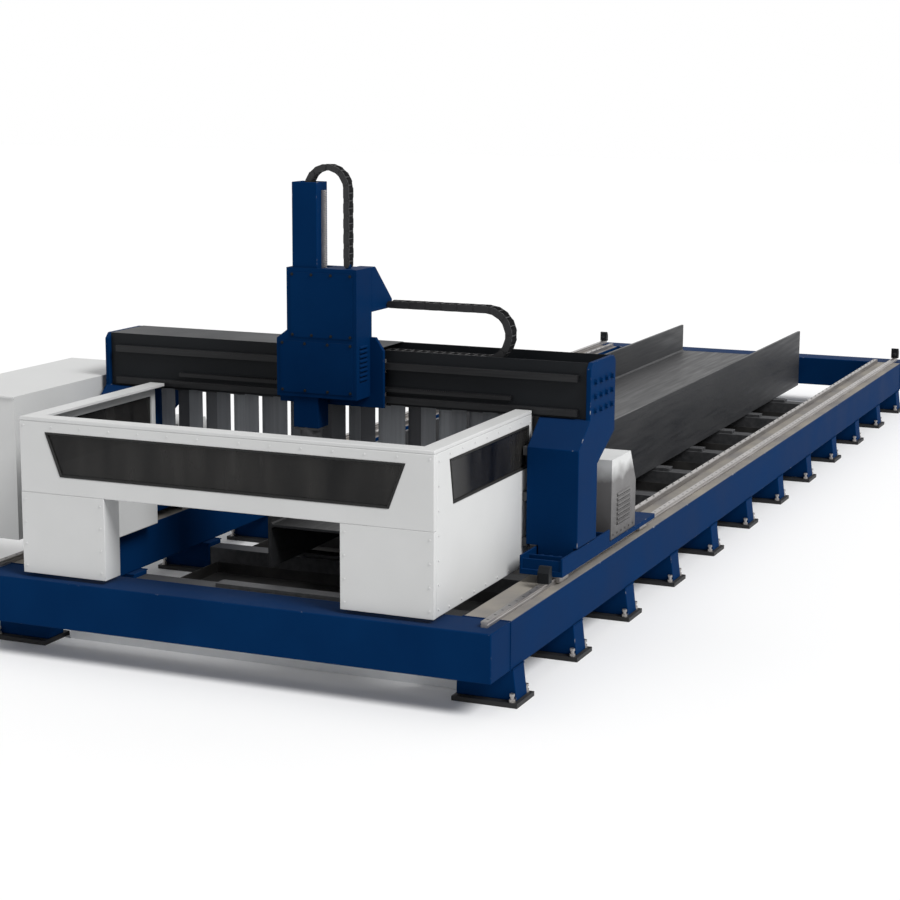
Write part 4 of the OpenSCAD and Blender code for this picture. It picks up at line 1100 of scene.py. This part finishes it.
# %% The weld tree
weld_tree, start, end = geometry_tree("weld_beads", [
    ("Spacing", "NodeSocketFloat", 0.009), ("Radius", "NodeSocketFloat", 0.007),
    ("Finish", "NodeSocketMaterial", None),
])
seam = weld_tree.nodes.new("GeometryNodeMeshToCurve")
steps = weld_tree.nodes.new("GeometryNodeResampleCurve")
steps.mode = "LENGTH"
drop = weld_tree.nodes.new("GeometryNodeMeshIcoSphere")
drop.inputs["Subdivisions"].default_value = 2
wire(weld_tree, start.outputs["Radius"], drop.inputs["Radius"])
wire(weld_tree, start.outputs["Geometry"], seam.inputs["Mesh"])
wire(weld_tree, seam.outputs["Curve"], steps.inputs["Curve"])
wire(weld_tree, start.outputs["Spacing"], steps.inputs["Length"])
scatter = weld_tree.nodes.new("GeometryNodeInstanceOnPoints")
wire(weld_tree, steps.outputs["Curve"], scatter.inputs["Points"])
wire(weld_tree, drop.outputs["Mesh"], scatter.inputs["Instance"])
close_tree(weld_tree, start, end, scatter.outputs["Instances"])
print("tree", weld_tree.name)

# %% Seams between the beams and under the legs
rails_low, rails_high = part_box("rail_beams")
legs_low, legs_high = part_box("bed_legs")
LEG_LONG, LEG_REACH, LEG_PROUD = 0.184, 0.43, 0.005
FOOT_COUNT = 12
seam_paths = []
for y in (rails_low.y, rails_high.y):
    outer, inner = rails_high.x, bed_inner
    corners = [(outer, rails_low.z), (outer, rails_high.z), (inner, rails_high.z), (inner, rails_low.z)]
    seam_paths.append([Vector((x, y, z)) for x, z in corners])
leg_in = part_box("foot_plates")[1].x - LEG_REACH
leg_out = rails_high.x + LEG_PROUD
foot_pitch = (legs_high.y - legs_low.y - LEG_LONG) / (FOOT_COUNT - 1)
for i in range(FOOT_COUNT):
    near = legs_low.y + i * foot_pitch
    ring = [(leg_in, near), (leg_out, near), (leg_out, near + LEG_LONG), (leg_in, near + LEG_LONG)]
    seam_paths.append([Vector((x, y, legs_high.z)) for x, y in ring])
seam_points, seam_edges = [], []
for side in (1, -1):
    for path in seam_paths:
        base = len(seam_points)
        seam_points += [(side * p.x, p.y, p.z) for p in path]
        seam_edges += [(base + k, base + k + 1) for k in range(len(path) - 1)]
seam_mesh = bpy.data.meshes.new("bed_welds")
seam_mesh.from_pydata(seam_points, seam_edges, [])
grown("bed_welds", seam_mesh, weld_tree, "bed", deep_blue, "blue_paint", Spacing=0.011, Radius=0.006)

# %% [markdown]
# ## The copper nozzle
# The tip of a cutting head is a small copper cone that screws into the sensor body. It is a turned part,
# so a profile spun round the head's axis is the natural way to make it.

# %% Turn the nozzle
head_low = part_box("cutting_head")[0]
swivel_low, swivel_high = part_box("swivel_housing")
axis_x = (swivel_low.x + swivel_high.x) / 2
axis_y = (swivel_low.y + swivel_high.y) / 2
SKIN = 0.0004
NOZZLE = [
    (0.0012, 0.0), (0.003 + SKIN, 0.0), (0.011 + SKIN, 0.020),
    (0.0135, 0.0215), (0.0135, 0.030), (0.0132, 0.031),
]
SPIN_STEPS = 40
shape = bmesh.new()
rings = []
for radius, height in NOZZLE:
    ring = []
    for k in range(SPIN_STEPS):
        a = math.tau * k / SPIN_STEPS
        ring.append(shape.verts.new((
            axis_x + radius * math.cos(a), axis_y + radius * math.sin(a), head_low.z + height
        )))
    rings.append(ring)
for lower, upper in zip(rings, rings[1:]):
    for k in range(SPIN_STEPS):
        n = (k + 1) % SPIN_STEPS
        shape.faces.new((lower[k], lower[n], upper[n], upper[k]))
shape.faces.new(list(reversed(rings[0])))
shape.faces.new(rings[-1])
bmesh.ops.recalc_face_normals(shape, faces=shape.faces)
for face in shape.faces:
    face.smooth = len(face.verts) == 4
nozzle_mesh = bpy.data.meshes.new("copper_nozzle")
shape.to_mesh(nozzle_mesh)
shape.free()
nozzle = link_piece("copper_nozzle", nozzle_mesh, nozzle_copper)
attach(nozzle, "head")
print("nozzle", len(nozzle_mesh.polygons), "faces")
